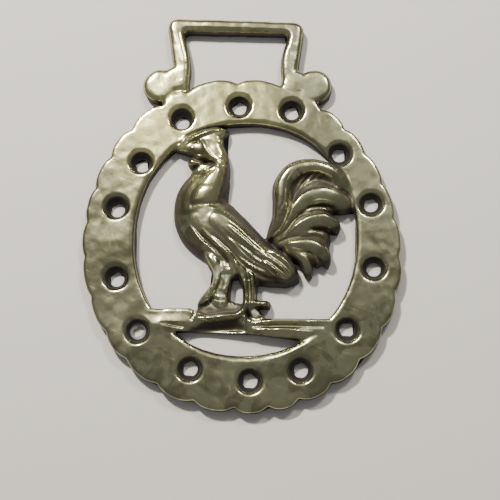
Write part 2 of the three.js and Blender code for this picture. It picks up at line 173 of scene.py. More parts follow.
def make_ring():
    bm = bmesh.new()
    steps = len(CUSP_ANGLES) * SCALLOP_STEPS
    rim = bmesh.ops.create_circle(bm, segments=steps, radius=1)["verts"]
    for index, vert in enumerate(rim):
        scallop, step = divmod(index, SCALLOP_STEPS)
        vert.co = rim_point(scallop, step / SCALLOP_STEPS)
    opening = bmesh.ops.create_circle(bm, segments=steps, radius=1)["verts"]
    start = math.radians(CUSP_ANGLES[0])
    for index, vert in enumerate(opening):
        vert.co = opening_point(start + 2 * math.pi * index / steps)
    bmesh.ops.bridge_loops(bm, edges=list(bm.edges))
    raise_slab(bm, PLATE)
    round_rim(bm, PLATE, INNER_ROUNDING, RIM_SEGMENTS, farthest=RING_RADIUS - BAND_TOP / 2)
    round_rim(bm, PLATE, RIM_ROUNDING, RIM_SEGMENTS)
    return to_object(bm, "ring")


ring = make_ring()
rim_points = [
    rim_point(scallop, step / SCALLOP_STEPS)
    for scallop in range(len(CUSP_ANGLES)) for step in range(SCALLOP_STEPS)
]
node_low, node_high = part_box("horse_brass")
RING_X = node_low[0] / MM - min(point.x for point in rim_points)
RING_Y = node_low[1] / MM - min(point.y for point in rim_points)
print("ring", len(ring.data.polygons), "faces, its middle at", round(RING_X, 2), round(RING_Y, 2))

# %% [markdown]
# The strap loop is a frame of square bar with rounded edges. Its outline goes through a few
# corners, and each corner is rounded by a short curve between two points on its sides. Towards
# its feet the loop sinks a little, down to the height of the ring.

# %% The strap loop
LOOP_TOP_WIDTH, LOOP_FOOT_WIDTH = 33.4, 28.2
LOOP_OFFSET = -1.9
LOOP_REACH = 16.35
LOOP_SLOPE = math.radians(3.2)
LOOP_BAR, LOOP_LEG = 3.3, 4.1
LOOP_WAIST, LOOP_WAIST_ROUNDING = 7.5, 3.0
LOOP_PINCH, LOOP_FLARE, LOOP_ROOT = 0.5, 1.2, 2.0
LOOP_THICKNESS, LOOP_ROUNDING, LOOP_SEGMENTS = 3.3, 1.35, 6
LOOP_CORNER, LOOP_INNER_CORNER = 3.2, 1.2
LOOP_SINK, LOOP_SINK_REACH = 0.1, 3.5
CORNER_STEPS = 8
LOOP_FOOT_Y = cusp_radius(math.pi / 2) - LOOP_ROOT
LOOP_TOP_Y = cusp_radius(math.pi / 2) + LOOP_REACH


def rounded_outline(corners):
    """Points along a closed outline. Each corner is (x, y, rounding)."""
    points = []
    for index, (x, y, rounding) in enumerate(corners):
        here = Vector((x, y, 0))
        if rounding == 0:
            points.append(here)
            continue
        before = Vector((*corners[index - 1][:2], 0))
        after = Vector((*corners[(index + 1) % len(corners)][:2], 0))
        start = here + (before - here).normalized() * rounding
        end = here + (after - here).normalized() * rounding
        for step in range(CORNER_STEPS + 1):
            along = step / CORNER_STEPS
            points.append(start.lerp(here, along).lerp(here.lerp(end, along), along))
    return points


def slab(points, top, rounding, segments, name):
    bm = bmesh.new()
    bm.faces.new([bm.verts.new(point) for point in points])
    raise_slab(bm, top)
    round_rim(bm, top, rounding, segments)
    return to_object(bm, name)


def loop_top(x):
    return LOOP_TOP_Y - (x - LOOP_OFFSET) * math.tan(LOOP_SLOPE)


def loop_leg(side):
    top = LOOP_OFFSET + side * LOOP_TOP_WIDTH / 2
    foot = LOOP_OFFSET + side * LOOP_FOOT_WIDTH / 2
    waist = foot + (top - foot) * LOOP_WAIST / (LOOP_TOP_Y - LOOP_FOOT_Y)
    inner_top = top - side * LOOP_LEG
    return [
        (foot, LOOP_FOOT_Y, 0),
        (foot - side * (LOOP_LEG - LOOP_FLARE), LOOP_FOOT_Y, 0),
        (waist - side * (LOOP_LEG + LOOP_PINCH), LOOP_FOOT_Y + LOOP_WAIST, LOOP_WAIST_ROUNDING),
        (inner_top, loop_top(inner_top) - LOOP_BAR, LOOP_INNER_CORNER),
        (top, loop_top(top), LOOP_CORNER),
    ]


left_leg, right_leg = loop_leg(-1), loop_leg(1)
loop_corners = left_leg[:4] + right_leg[3:0:-1] + [right_leg[0], right_leg[4], left_leg[4]]
loop_outline = rounded_outline(loop_corners)
strap_loop = slab(loop_outline, LOOP_THICKNESS, LOOP_ROUNDING, LOOP_SEGMENTS, "strap loop")
for vert in strap_loop.data.vertices:
    sunk = min(1, max(0, 1 - (vert.co.y - LOOP_FOOT_Y - LOOP_ROOT) / LOOP_SINK_REACH))
    if vert.co.z > 0:
        vert.co.z *= 1 - LOOP_SINK * sunk
print("strap loop", len(strap_loop.data.polygons), "faces")

# %% [markdown]
# Two flat round lobes sit at the feet of the loop, where it runs into the ring. A smaller round
# beside each fills the corner between the lobe and the leg, as the casting does.

# %% The lobes
LOBE_RADIUS, LOBE_RISE, LOBE_ROUNDING, LOBE_SEGMENTS = 4.2, 0.1, 1.3, 5
CORNER_RADIUS = 3.3
LOBE_STEPS = 48
LOBES = [
    (-1, 3.7, 0.0, LOBE_RADIUS), (1, 4.6, -1.0, LOBE_RADIUS),
    (-1, 0.3, 1.5, CORNER_RADIUS), (1, 0.0, -0.1, CORNER_RADIUS),
]


def make_lobe(side, out, up, radius):
    bm = bmesh.new()
    across = LOOP_OFFSET + side * (LOOP_FOOT_WIDTH / 2 + out)
    bmesh.ops.create_circle(
        bm, cap_ends=True, segments=LOBE_STEPS, radius=radius,
        matrix=Matrix.Translation((across, LOOP_FOOT_Y + LOOP_ROOT + up, 0)),
    )
    raise_slab(bm, PLATE + LOBE_RISE)
    round_rim(bm, PLATE + LOBE_RISE, LOBE_ROUNDING, LOBE_SEGMENTS)
    return to_object(bm, "lobe")


lobes = [make_lobe(*sizes) for sizes in LOBES]
print(len(lobes), "lobes")

# %% [markdown]
# The cockerel is modelled as a carver builds up wax: rounded rolls are laid along curves and run
# into each other. Each roll is a ball that is stretched along its curve. A row of its list holds
# the place across and up, the half width, and the rise over the ring's face. Places are in
# hundredths of the opening's height, from the opening's middle, and a rise of 1 is the full
# relief, so the whole bird grows with the opening.

# %% Rolls along curves
SHARE = OPENING_HALF_HEIGHT / 50
ROLL_SIDES, ROLL_STEPS = 32, 14
FULL, FLAT, ROUND = 2.5, 3.4, 2.1
TIP_ROUNDING = 6
NEARBY = 1e-4


def spline(rows, along):
    """A smooth curve through the rows, at the places along, which run from 0 to 1."""
    knots = np.array(rows, float)
    knots = np.vstack([2 * knots[0] - knots[1], knots, 2 * knots[-1] - knots[-2]])
    spans = len(rows) - 1
    place = np.clip(np.asarray(along) * spans, 0, spans - 1e-9)
    index = place.astype(int)
    t = (place - index)[:, None]
    p0, p1, p2, p3 = (knots[index + shift] for shift in range(4))
    return 0.5 * (
        2 * p1 + (p2 - p0) * t + (2 * p0 - 5 * p1 + 4 * p2 - p3) * t**2
        + (3 * p1 - p0 - 3 * p2 + p3) * t**3
    )


def figure_rows(rows):
    return [
        (OPENING_X + across * SHARE, OPENING_Y + up * SHARE, width * SHARE, PLATE + rise * RELIEF)
        for across, up, width, rise in rows
    ]


def roll(rows, squareness):
    bm = bmesh.new()
    bmesh.ops.create_uvsphere(
        bm, u_segments=ROLL_SIDES, v_segments=ROLL_STEPS * len(rows), radius=1,
    )
    ball = np.array([vert.co for vert in bm.verts])
    along = (1 - np.clip(ball[:, 2], -1, 1)) / 2
    turn = np.arctan2(ball[:, 1], ball[:, 0])
    tip = np.sqrt(np.maximum(0, 1 - np.abs(2 * along - 1) ** TIP_ROUNDING))
    middle = spline(figure_rows(rows), along)
    ahead = spline(figure_rows(rows), np.clip(along + NEARBY, 0, 1))
    behind = spline(figure_rows(rows), np.clip(along - NEARBY, 0, 1))
    heading = (ahead - behind)[:, :2]
    heading /= np.linalg.norm(heading, axis=1)[:, None]
    across = middle[:, 2] * tip * squared(np.cos(turn), squareness)
    up = middle[:, 3] * tip * squared(np.sin(turn), squareness)
    for vert, place, head, side, height in zip(bm.verts, middle, heading, across, up):
        vert.co = (place[0] - head[1] * side, place[1] + head[0] * side, max(height, BELOW))
    return to_object(bm, "roll")


print("one hundredth of the opening is", round(SHARE, 3), "mm")

# %% [markdown]
# The body is a thick roll from the neck to the rump. A second roll makes the neck's bulge, and a
# third one the shoulder and the wing. The head is cast almost flat, with the comb beside it along
# the ring's inner edge. What is finer than this is carved later.

# %% Body and head
BODY = [
    [(-14, 32.5, 6.3, 0.5), (-14.5, 26, 9, 0.62), (-18.5, 16, 11.8, 0.76), (-16, 6.5, 13.4, 0.88),
     (-7.5, -1, 12.3, 0.9), (1.5, -8, 10.3, 0.82), (10, -13, 8.5, 0.7), (17, -16.5, 5.9, 0.55),
     (22.5, -19, 4.8, 0.25)],
]
BULGES = [
    [(-9.5, 35, 3.6, 0.5), (-11, 30, 4.8, 0.8), (-13.5, 24, 6.6, 1.0), (-16.5, 18, 8.2, 1.04),
     (-19.3, 12.5, 8.6, 0.92), (-21.5, 6, 7, 0.66)],
    [(-18, 11.5, 5, 0.72), (-14, 8, 7.6, 1.04), (-8.8, 3.8, 8.4, 1.12), (-2.5, -1.2, 7.6, 1.1),
     (4.5, -6.6, 6.2, 1.0), (11.5, -11.8, 5, 0.86), (19, -16.6, 3.6, 0.62)],
]
WING_TIP = [
    [(6, -8, 4.6, 0.9), (11.5, -11.6, 5.8, 0.96), (17, -15.2, 5.2, 0.88), (21.8, -18.4, 3.2, 0.6)],
]
HEAD = [
    [(-8.5, 29, 3.3, 0.5), (-12.5, 35, 5.2, 0.5), (-15.8, 40, 6, 0.46), (-19, 45, 4.5, 0.28)],
    [(-15, 36.8, 3.2, 0.42), (-21, 38.8, 3.3, 0.36), (-26, 39.6, 2.2, 0.2), (-31, 39.3, 1.4, 0)],
    [(-31, 41, 1.2, 0.05), (-25.5, 42.6, 2, 0.24), (-19, 44.6, 3, 0.36), (-12.6, 45.2, 3.3, 0.4),
     (-7, 47.2, 1.3, 0.34)],
    [(-13.5, 36, 4, 0.46), (-13, 40.5, 3.4, 0.44), (-11.8, 44.5, 3, 0.4)],
    [(-16, 34, 1.6, 0.2), (-21, 33.4, 2.4, 0.12), (-25, 32.8, 1.8, -0.1)],
    [(-13.5, 31.5, 1.9, 0.46), (-18.5, 29, 2.4, 0.34), (-23.5, 26.5, 1.6, 0.1)],
]
print("body and head:", len(BODY + BULGES + WING_TIP + HEAD), "rolls")

# %% [markdown]
# The legs stand on the ground bar. Between the thighs and around the feet the founder left a
# web of metal, which stays as it is on the real one, so the front leg is a broad low wedge. In
# front of the feet lies a shallow pool behind the crest of the ground.

# %% Legs and the metal left around them
LEGS = [
    [(-17, -5, 3.2, 0.72), (-12.6, -11, 3.2, 0.62), (-10.6, -16.5, 2.6, 0.5),
     (-12, -21.5, 2.3, 0.44), (-15.5, -25.8, 2.2, 0.4), (-19.6, -29.6, 1.6, 0.24)],
    [(-7, -6, 4.2, 0.86), (-2.6, -12, 3.2, 0.7), (0, -18, 2.3, 0.54), (1, -24, 1.8, 0.48),
     (0.8, -29.5, 1.9, 0.44), (-1.2, -33.5, 1.7, 0.38)],
    [(0.5, -10, 3.8, 0.76), (3.2, -17, 2.3, 0.52), (3.8, -23, 1.6, 0.42), (3.6, -28.5, 1.5, 0.36),
     (2.4, -34, 1.5, 0.2)],
    [(1.5, -28.7, 1.7, 0.36), (6.5, -28.8, 1.8, 0.3), (11, -29, 2, 0.1)],
    [(0, -33, 1.5, 0.34), (0.9, -37.8, 1.3, 0.16)],
]
WEBS = [
    [(-10, -8, 5, 0.52), (-8.4, -14, 4, 0.38), (-8.4, -19, 3.1, 0.3), (-9, -24, 3.3, 0.22),
     (-10.4, -28.5, 3.8, 0.02), (-11, -31.2, 3.4, -0.16)],
    [(-1.5, -12, 3.4, 0.46), (1.5, -19, 2.6, 0.3), (2, -27, 2.4, 0.22)],
    [(-5.5, -10, 4, 0.4), (-4.4, -14.5, 3.6, 0.32), (-3.6, -18, 3, 0.2)],
    [(-20.5, -32.6, 2.2, -0.2), (-10, -32, 2.8, -0.3), (0, -32, 2.4, -0.2)],
    [(-19.8, -30.8, 2, -0.12), (-11, -30.6, 4.4, -0.22), (-4, -31, 3.4, -0.24), (1, -31.2, 2.2, -0.1)],
    [(2, -31, 1.9, 0.1), (5, -33, 1.8, 0.06), (8.6, -35.2, 1.1, 0)],
]
print("legs and webs:", len(LEGS + WEBS), "rolls")

# %% [markdown]
# The tail is the showpiece: a sickle feather rises from the root, bends over and runs into the
# ring, and broad flat feathers fan out below it. They lie on a raised bed, so that no gap opens
# between them.

# %% Tail
SICKLE = [
    [(8.5, -3, 1.8, 0.6), (13.2, 4, 2.7, 0.76), (15.4, 13, 4, 0.92), (16.2, 21.5, 4.7, 1.0),
     (20.8, 27.7, 4.7, 0.98), (28.5, 29.7, 4.1, 0.84), (36.5, 27.2, 4, 0.68),
     (41.8, 22, 3.6, 0.48), (45.2, 16.5, 2.6, 0.2)],
]
FEATHERS = [
    [(11, -2, 1.8, 0.6), (17, 4.5, 2.7, 0.74), (21.5, 11, 3.6, 0.82), (27, 15.2, 4.5, 0.8),
     (33.8, 16.5, 4.6, 0.74), (40.4, 14, 4.8, 0.56), (46, 12, 2.9, 0.2)],
    [(12.5, -2.5, 1.8, 0.6), (19, 2.2, 2.7, 0.72), (25, 5.2, 3.5, 0.78), (31.8, 6, 4, 0.74),
     (37, 4.4, 3.3, 0.58), (38.6, 1, 2, 0.22)],
    [(13.5, -4.5, 1.8, 0.6), (21, -4.3, 3, 0.72), (27.5, -5.2, 3.5, 0.74), (32.6, -8, 3.1, 0.6),
     (34.4, -13.3, 1.8, 0.26)],
    [(15.5, -5.6, 1.8, 0.55), (21, -7.8, 2.5, 0.62), (25, -11.3, 2.6, 0.6), (27, -18.4, 2, 0.3)],
    [(20, 7, 1.2, 0.5), (25.5, 10.2, 1.3, 0.5), (32.5, 11.2, 1.3, 0.42), (37.5, 10.2, 1.2, 0.24)],
    [(17.5, -1.6, 1.2, 0.55), (23, 0.6, 1.5, 0.54), (29, 1, 1.5, 0.46), (34.4, -0.8, 1.4, 0.26)],
    [(22.5, -6.8, 1.2, 0.45), (28, -9, 1.4, 0.42), (31, -13, 1.5, 0.12)],
]
TAIL_BED = [
    [(9, -3, 2.6, 0.3), (19, 9.5, 7.4, 0.46), (27, 19, 11.2, 0.36), (36, 24, 9, 0.34),
     (44, 26.5, 4.4, 0.1)],
    [(11.5, -3.5, 2.8, 0.35), (21.5, -1.5, 6.8, 0.46), (30.5, -1.5, 7.6, 0.36), (36, -1.5, 3.6, 0.2)],
]
print("tail:", len(SICKLE + FEATHERS + TAIL_BED), "rolls")

# %% [markdown]
# The ground is a bar right across the opening, with a crest under the feet and two low ridges
# beside it. Below it a slot is left open down to the ring. With the ground's ridges all rolls are
# listed, so they are made here. Limbs are full rolls, feathers flat ones and the body a round one.

# %% Ground
GROUND_ROUNDING, GROUND_SEGMENTS = 0.5, 3
GROUND_OUTLINE = [
    (-45.5, -30.5, 0), (-22.5, -30.2, 0), (-16, -33.5, 4), (2, -34.6, 0), (36, -35, 0),
    (44, -37, 0), (30, -44.4, 0), (2, -41, 0), (-28, -40, 0), (-45.5, -39.8, 0),
]
GROUND_RIDGES = [
    [(-22.8, -36, 1.5, 0.1), (-19.4, -34.5, 1.8, 0.28), (-13.5, -35, 2, 0.36), (-8, -34.3, 2, 0.4),
     (-3, -33.8, 1.9, 0.42), (-0.4, -32, 1.9, 0.44), (0.9, -29.2, 1.7, 0.46)],
    [(1, -36.4, 1.5, 0.1), (11.5, -36.2, 1.7, 0.2), (22.5, -36.5, 1.7, 0.18), (33, -36.5, 1.3, 0.1)],
    [(3, -39.6, 1.3, 0.06), (13.5, -39.5, 1.5, 0.12), (26.5, -41, 1.3, 0.06)],
]

ground_corners = [
    (OPENING_X + across * SHARE, OPENING_Y + up * SHARE, rounding * SHARE)
    for across, up, rounding in GROUND_OUTLINE
]
ground_outline = rounded_outline(ground_corners)
ground = slab(ground_outline, PLATE, GROUND_ROUNDING, GROUND_SEGMENTS, "ground")
rolls = [roll(rows, FULL) for rows in LEGS + SICKLE]
rolls += [roll(rows, FLAT) for rows in HEAD + WING_TIP + WEBS + TAIL_BED + FEATHERS]
rolls += [roll(rows, ROUND) for rows in BODY + BULGES + GROUND_RIDGES]
print(len(rolls), "rolls")

# %% [markdown]
# Each hole is a cutter turned on a lathe: a straight throat that opens into a cone. The old
# throats lean a little up or down, so the lower end of each cutter is moved. A row of the list
# holds the angle, the distance from the rim and the lean. One hole was never cleaned out: a thin
# skin of metal is left in it, with a ragged slot.

# %% Hole cutters
HOLE_RIM, HOLE_THROAT, HOLE_CONE = 2.95, 1.65, 2.1
HOLE_STEP, HOLE_FLARE = 0.1, 0.3
HOLE_SIDES = 48
CLEARANCE = 1.0
HOLES = [
    (115.6, 5.3, -0.8), (91.6, 5.8, 0.2), (70.0, 3.9, 0.2), (42.5, 5.0, 0.6), (16.4, 4.2, 0.3),
    (-11.8, 5.6, 0.1), (-40.5, 6.2, 0.4), (-65.5, 5.5, 0.2), (-86.3, 5.7, 0.2), (-111.5, 6.0, 0.3),
    (-138.9, 5.8, 0), (-164.4, 6.5, -0.2), (163.5, 6.1, -0.5), (140.6, 6.9, -0.5),
]
FLASH_HOLE = 10
FLASH_THICKNESS = 0.9
FLASH_SLOT_LENGTH, FLASH_SLOT_WIDTH = 1.9, 1.15
FLASH_SLOT_TEETH, FLASH_SLOT_BITE = 7, 0.66
FLASH_SLOT_ANGLE = math.radians(35)


def hole_middle(number):
    angle = math.radians(HOLES[number][0])
    radius = cusp_radius(angle) - HOLES[number][1]
    return Vector((radius * math.cos(angle), radius * math.sin(angle), 0))


def hole_cutter(number):
    lean = HOLES[number][2]
    floor = FLASH_THICKNESS if number == FLASH_HOLE else BELOW - CLEARANCE
    profile = [
        (0, floor), (HOLE_THROAT, floor), (HOLE_THROAT, PLATE - HOLE_CONE + HOLE_STEP),
        (HOLE_RIM, PLATE), (HOLE_RIM + HOLE_FLARE, PLATE + CLEARANCE), (0, PLATE + CLEARANCE),
    ]
    bm = bmesh.new()
    verts = [bm.verts.new((radius, 0, height)) for radius, height in profile]
    edges = [bm.edges.new(pair) for pair in zip(verts, verts[1:])]
    bmesh.ops.spin(
        bm, geom=verts + edges, cent=(0, 0, 0), axis=(0, 0, 1), angle=2 * math.pi,
        steps=HOLE_SIDES, use_merge=True,
    )
    bmesh.ops.remove_doubles(bm, verts=bm.verts, dist=NEARLY)
    for vert in bm.verts:
        vert.co.y += lean * max(0, 1 - max(vert.co.z, 0) / PLATE)
    bmesh.ops.translate(bm, verts=bm.verts, vec=hole_middle(number))
    return to_object(bm, "hole cutter")


def flash_cutter():
    bm = bmesh.new()
    sides = 2 * FLASH_SLOT_TEETH
    slot = bmesh.ops.create_circle(bm, cap_ends=True, segments=sides, radius=1)["verts"]
    for index, vert in enumerate(slot):
        reach = 1 if index % 2 else FLASH_SLOT_BITE
        vert.co.x *= FLASH_SLOT_LENGTH * reach
        vert.co.y *= FLASH_SLOT_WIDTH * reach
    raise_slab(bm, PLATE, BELOW - CLEARANCE)
    bmesh.ops.rotate(bm, verts=bm.verts, matrix=Matrix.Rotation(FLASH_SLOT_ANGLE, 3, "Z"))
    bmesh.ops.translate(bm, verts=bm.verts, vec=hole_middle(FLASH_HOLE))
    return to_object(bm, "flash cutter")


hole_cutters = [hole_cutter(number) for number in range(len(HOLES))]
flash_slot = flash_cutter()
print(len(hole_cutters), "hole cutters and the slot's")

# %% [markdown]
# Now the casting becomes one body. A voxel remesh covers all the overlapping bodies with one skin
# of small even faces, which rounds every inner corner as molten metal does. The holes and the flat
# back are cut from that skin. Cutters that overlap confuse a Boolean, so the slot, which overlaps
# its hole, and the back get cuts of their own. A second remesh evens out the long thin faces that
# the cuts leave.

# %% Join, cut and remesh
FIRST_VOXEL, LAST_VOXEL = 0.22, 0.25


def as_one_mesh(bodies, name):
    bm = bmesh.new()
    for body in bodies:
        bm.from_mesh(body.data)
        bpy.data.objects.remove(body)
    return to_object(bm, name)


def baked(body):
    """Applies the modifiers of a body by taking its evaluated mesh."""
    graph = bpy.context.evaluated_depsgraph_get()
    mesh = bpy.data.meshes.new_from_object(body.evaluated_get(graph))
    body.modifiers.clear()
    body.data = mesh
    return body


def reskinned(body, voxel):
    skin = body.modifiers.new("skin", "REMESH")
    skin.mode = "VOXEL"
    skin.voxel_size = voxel
    return baked(body)


def cut(body, cutter):
    modifier = body.modifiers.new("cut", "BOOLEAN")
    modifier.operation = "DIFFERENCE"
    modifier.object = cutter
    modifier.solver = "MANIFOLD"
    baked(body)
    bpy.data.objects.remove(cutter)


def back_block():
    bm = bmesh.new()
    reach, depth = 4 * RING_RADIUS, 4 * PLATE
    bmesh.ops.create_cube(
        bm, size=1,
        matrix=Matrix.Translation((0, 0, -depth / 2)) @ Matrix.Diagonal((reach, reach, depth, 1)),
    )
    return to_object(bm, "back block")


def describe(body, title):
    bm = bmesh.new()
    bm.from_mesh(body.data)
    open_edges = sum(not edge.is_manifold for edge in bm.edges)
    print(title, len(bm.faces), "faces,", round(bm.calc_volume()), "mm3,", open_edges, "open edges")
    bm.free()


cast = as_one_mesh([ring, strap_loop, ground, *lobes, *rolls], "horse_brass_cast")
cast = reskinned(cast, FIRST_VOXEL)
describe(cast, "joined:")
cut(cast, as_one_mesh(hole_cutters, "hole cutters"))
cut(cast, flash_slot)
cut(cast, back_block())
describe(cast, "cut:")
cast = reskinned(cast, LAST_VOXEL)
describe(cast, "remeshed:")

# %% [markdown]
# Molten metal leaves no sharp inner corners, and wear takes the outer ones. The walls are smoothed
# sideways first. The face is then smoothed in height only, so no outline moves, and much longer
# where the strap loop and its lobes run into the ring.

# %% Soften the face
FACE_PASSES, LOOP_PASSES, WALL_PASSES = 7, 30, 5
LOOP_FOOT_REACH = 5.5
UPWARD, SIDEWAYS = 0.2, 0.6
SMOOTH_FACTOR = 0.5


def points_of(body):
    """The places and the normals of a body's vertices."""
    vertices = body.data.vertices
    points, normals = np.empty(3 * len(vertices)), np.empty(3 * len(vertices))
    vertices.foreach_get("co", points)
    vertices.foreach_get("normal", normals)
    return points.reshape(-1, 3), normals.reshape(-1, 3)


def move_points(body, points):
    body.data.vertices.foreach_set("co", points.ravel())
    body.data.update()


def mark(body, chosen, name):
    """Puts the chosen vertices into the body's only vertex group."""
    body.vertex_groups.clear()
    group = body.vertex_groups.new(name=name)
    group.add([int(index) for index in np.nonzero(chosen)[0]], 1, "REPLACE")


def soften(body, chosen, passes, sideways=False):
    mark(body, chosen, "soft")
    smooth = body.modifiers.new("soften", "SMOOTH")
    smooth.vertex_group = "soft"
    smooth.factor = SMOOTH_FACTOR
    smooth.iterations = passes
    smooth.use_x = smooth.use_y = sideways
    baked(body)
    body.vertex_groups.clear()


points, normals = points_of(cast)
soften(cast, np.abs(normals[:, 2]) < SIDEWAYS, WALL_PASSES, sideways=True)
points, normals = points_of(cast)
face = normals[:, 2] > UPWARD
soften(cast, face, FACE_PASSES)
at_loop_foot = np.abs(points[:, 1] - LOOP_FOOT_Y - LOOP_ROOT) < LOOP_FOOT_REACH
soften(cast, face & at_loop_foot, LOOP_PASSES)
describe(cast, "softened:")

# %% [markdown]
# Now the skin is carved. A stroke is a curve whose rows hold the place across and up, a half width
# and a height in millimetres: above zero it is a ridge and below zero a groove. Each point near a
# stroke moves up or down by it, and less the further it is from the stroke. A shingle is a
# one-sided stroke: it ends abruptly on the left of its direction and fades slowly on its right, as
# a feather does that lies over the next one.

# %% Carving tools
STROKE_SAMPLES = 30
SHINGLE_EDGE = 0.4


def smooth_fade(value):
    """Rises from 0 to 1 without a corner at either end."""
    value = np.clip(value, 0, 1)
    return value * value * (3 - 2 * value)


def carve(body, strokes, shingled=False):
    points, _ = points_of(body)
    lift = np.zeros(len(points))
    for rows in strokes:
        curve = spline(rows, np.linspace(0, 1, STROKE_SAMPLES * len(rows)))
        places = np.array((OPENING_X, OPENING_Y)) + curve[:, :2] * SHARE
        widths, heights = curve[:, 2] * SHARE, curve[:, 3]
        low, high = places.min(axis=0) - widths.max(), places.max(axis=0) + widths.max()
        near = np.nonzero(((points[:, :2] > low) & (points[:, :2] < high)).all(axis=1))[0]
        away = points[near, None, :2] - places[None]
        gaps = np.linalg.norm(away, axis=2)
        nearest = gaps.argmin(axis=1)
        gap = gaps.min(axis=1)
        fade = smooth_fade(1 - gap / widths[nearest])
        if shingled:
            heading = np.gradient(places, axis=0)[nearest]
            away = away[np.arange(len(near)), nearest]
            on_left = heading[:, 0] * away[:, 1] - heading[:, 1] * away[:, 0] > 0
            slope = np.clip(1 - gap / widths[nearest], 0, 1)
            fade = np.where(on_left, smooth_fade(1 - gap / SHINGLE_EDGE), slope)
        lift[near] += heights[nearest] * fade
    points[:, 2] += lift * np.clip(points[:, 2] / PLATE, 0, 1)
    move_points(body, points)
    print(len(strokes), "strokes moved", int((lift != 0).sum()), "points")


def dot(place):
    """A stroke without length: a round bump."""
    return [place, place]


print("each stroke has", STROKE_SAMPLES, "samples a row")

# %% [markdown]
# The head first: the comb's crest, the ridge that parts the face into two facets, the rear edge
# of the comb, the jaw, and the small curls at the throat. The deep grooves set the comb off from
# the ring and hollow out the place under the beak.

# %% Carve the head
carve(cast, [
    [(-28, 41, 0.9, -0.2), (-25, 44.2, 1.1, -0.5), (-21.5, 46, 1.2, -0.6), (-17, 47.6, 1.1, -0.6),
     (-12.5, 48.4, 1, -0.45), (-8.5, 48.5, 0.9, -0.2)],
    [(-22.5, 41.2, 0.7, -0.03), (-18, 43.4, 0.8, -0.1), (-13.5, 44.8, 0.7, -0.08)],
    [(-10.6, 45.6, 0.7, -0.1), (-8.9, 46, 0.8, -0.22), (-7.2, 45.7, 0.7, -0.1)],
    [(-25, 36, 1.1, -0.35), (-21, 33.9, 1.4, -0.75), (-17, 32.6, 1.5, -0.85),
     (-13.6, 31.7, 1.3, -0.8), (-11.8, 31.2, 0.9, -0.25)],
    [(-21.8, 26.8, 1, -0.2), (-18, 26.2, 1.2, -0.35), (-14, 27.3, 1.1, -0.25), (-12.2, 29, 0.9, -0.1)],
])
carve(cast, [
    [(-19.2, 42.6, 3, 0.05), (-17, 38.5, 4.6, 0.3), (-15.2, 35.2, 4, 0.3), (-12.5, 33.3, 2.5, 0.1)],
    [(-26.5, 40.3, 0.9, 0.05), (-24.5, 41.3, 1, 0.3), (-22, 43, 1, 0.38), (-19.5, 44.2, 1, 0.38),
     (-17, 45.3, 1, 0.38), (-14, 46.3, 1, 0.34), (-11.2, 46.4, 0.9, 0.15)],
    [(-19.7, 43.2, 0.8, 0.08), (-18.2, 41.3, 0.9, 0.2), (-17, 38.5, 1, 0.26), (-15.6, 35.7, 1.2, 0.3),
     (-13.8, 34, 1, 0.28), (-11.8, 33, 0.9, 0.15)],
    [(-11, 41, 0.9, 0.15), (-9, 42.7, 1, 0.36), (-7, 44.2, 1, 0.36), (-6, 45.6, 0.9, 0.2)],
    [(-24.5, 37, 0.9, 0.1), (-21.5, 35.6, 1, 0.28), (-18, 34.6, 1, 0.34), (-16, 34.2, 0.9, 0.15)],
    [(-20, 30, 0.9, 0.15), (-18.4, 31.2, 1, 0.34)],
    [(-17.8, 27.5, 0.9, 0.2), (-17, 28.4, 1.1, 0.38), (-16.3, 29.4, 0.9, 0.2)],
    [(-15.5, 27.2, 0.8, 0.1), (-14.8, 28.5, 0.9, 0.24), (-15.3, 29.9, 0.8, 0.1)],
])
HEAD_DOTS = [
    (-10, 34, 1.2, 0.3), (-10.8, 32.3, 1.1, 0.24), (-11.2, 29.8, 1.5, 0.3), (-8.4, 30, 1.3, 0.3),
    (-22.6, 38.4, 1.6, 0.16), (-19.7, 28, 1, 0.28),
]
carve(cast, [dot(place) for place in HEAD_DOTS])

# %% [markdown]
# The neck has a fold across its base, and the breast runs down into the thighs in long ridges.
# The wing's grooves lie between two lines: one function finds a line between them, and a loop
# carves it with a depth that varies, as on a tired old pattern. A second tier of short feathers
# makes the wing's tip.

# %% Carve the neck, the breast and the wing
WING_UPPER = [(-10, 8), (-4, 3.6), (1.8, -1.2), (8, -6.6)]
WING_LOWER = [(-12.5, -0.8), (-7.5, -5), (-2.5, -10.5), (3.5, -15.2), (9, -18)]
WING_GROOVES = [(0.13, -0.44), (0.31, -0.34), (0.46, -0.5), (0.62, -0.4), (0.79, -0.5)]
GROOVE_WIDTH, GROOVE_WANDER, GROOVE_WAVES, GROOVE_SHIFT = 1.0, 0.03, 7, 13
GROOVE_STRENGTHS = np.array((0, 0.25, 0.8, 1, 0.9, 1, 0.4))


def wing_groove(down, depth):
    along = np.linspace(0, 1, len(GROOVE_STRENGTHS))
    upper, lower = spline(WING_UPPER, along), spline(WING_LOWER, along)
    wander = down + GROOVE_WANDER * np.sin(GROOVE_WAVES * along + GROOVE_SHIFT * down)
    places = upper + (lower - upper) * wander[:, None]
    return [(x, y, GROOVE_WIDTH, depth * share) for (x, y), share in zip(places, GROOVE_STRENGTHS)]


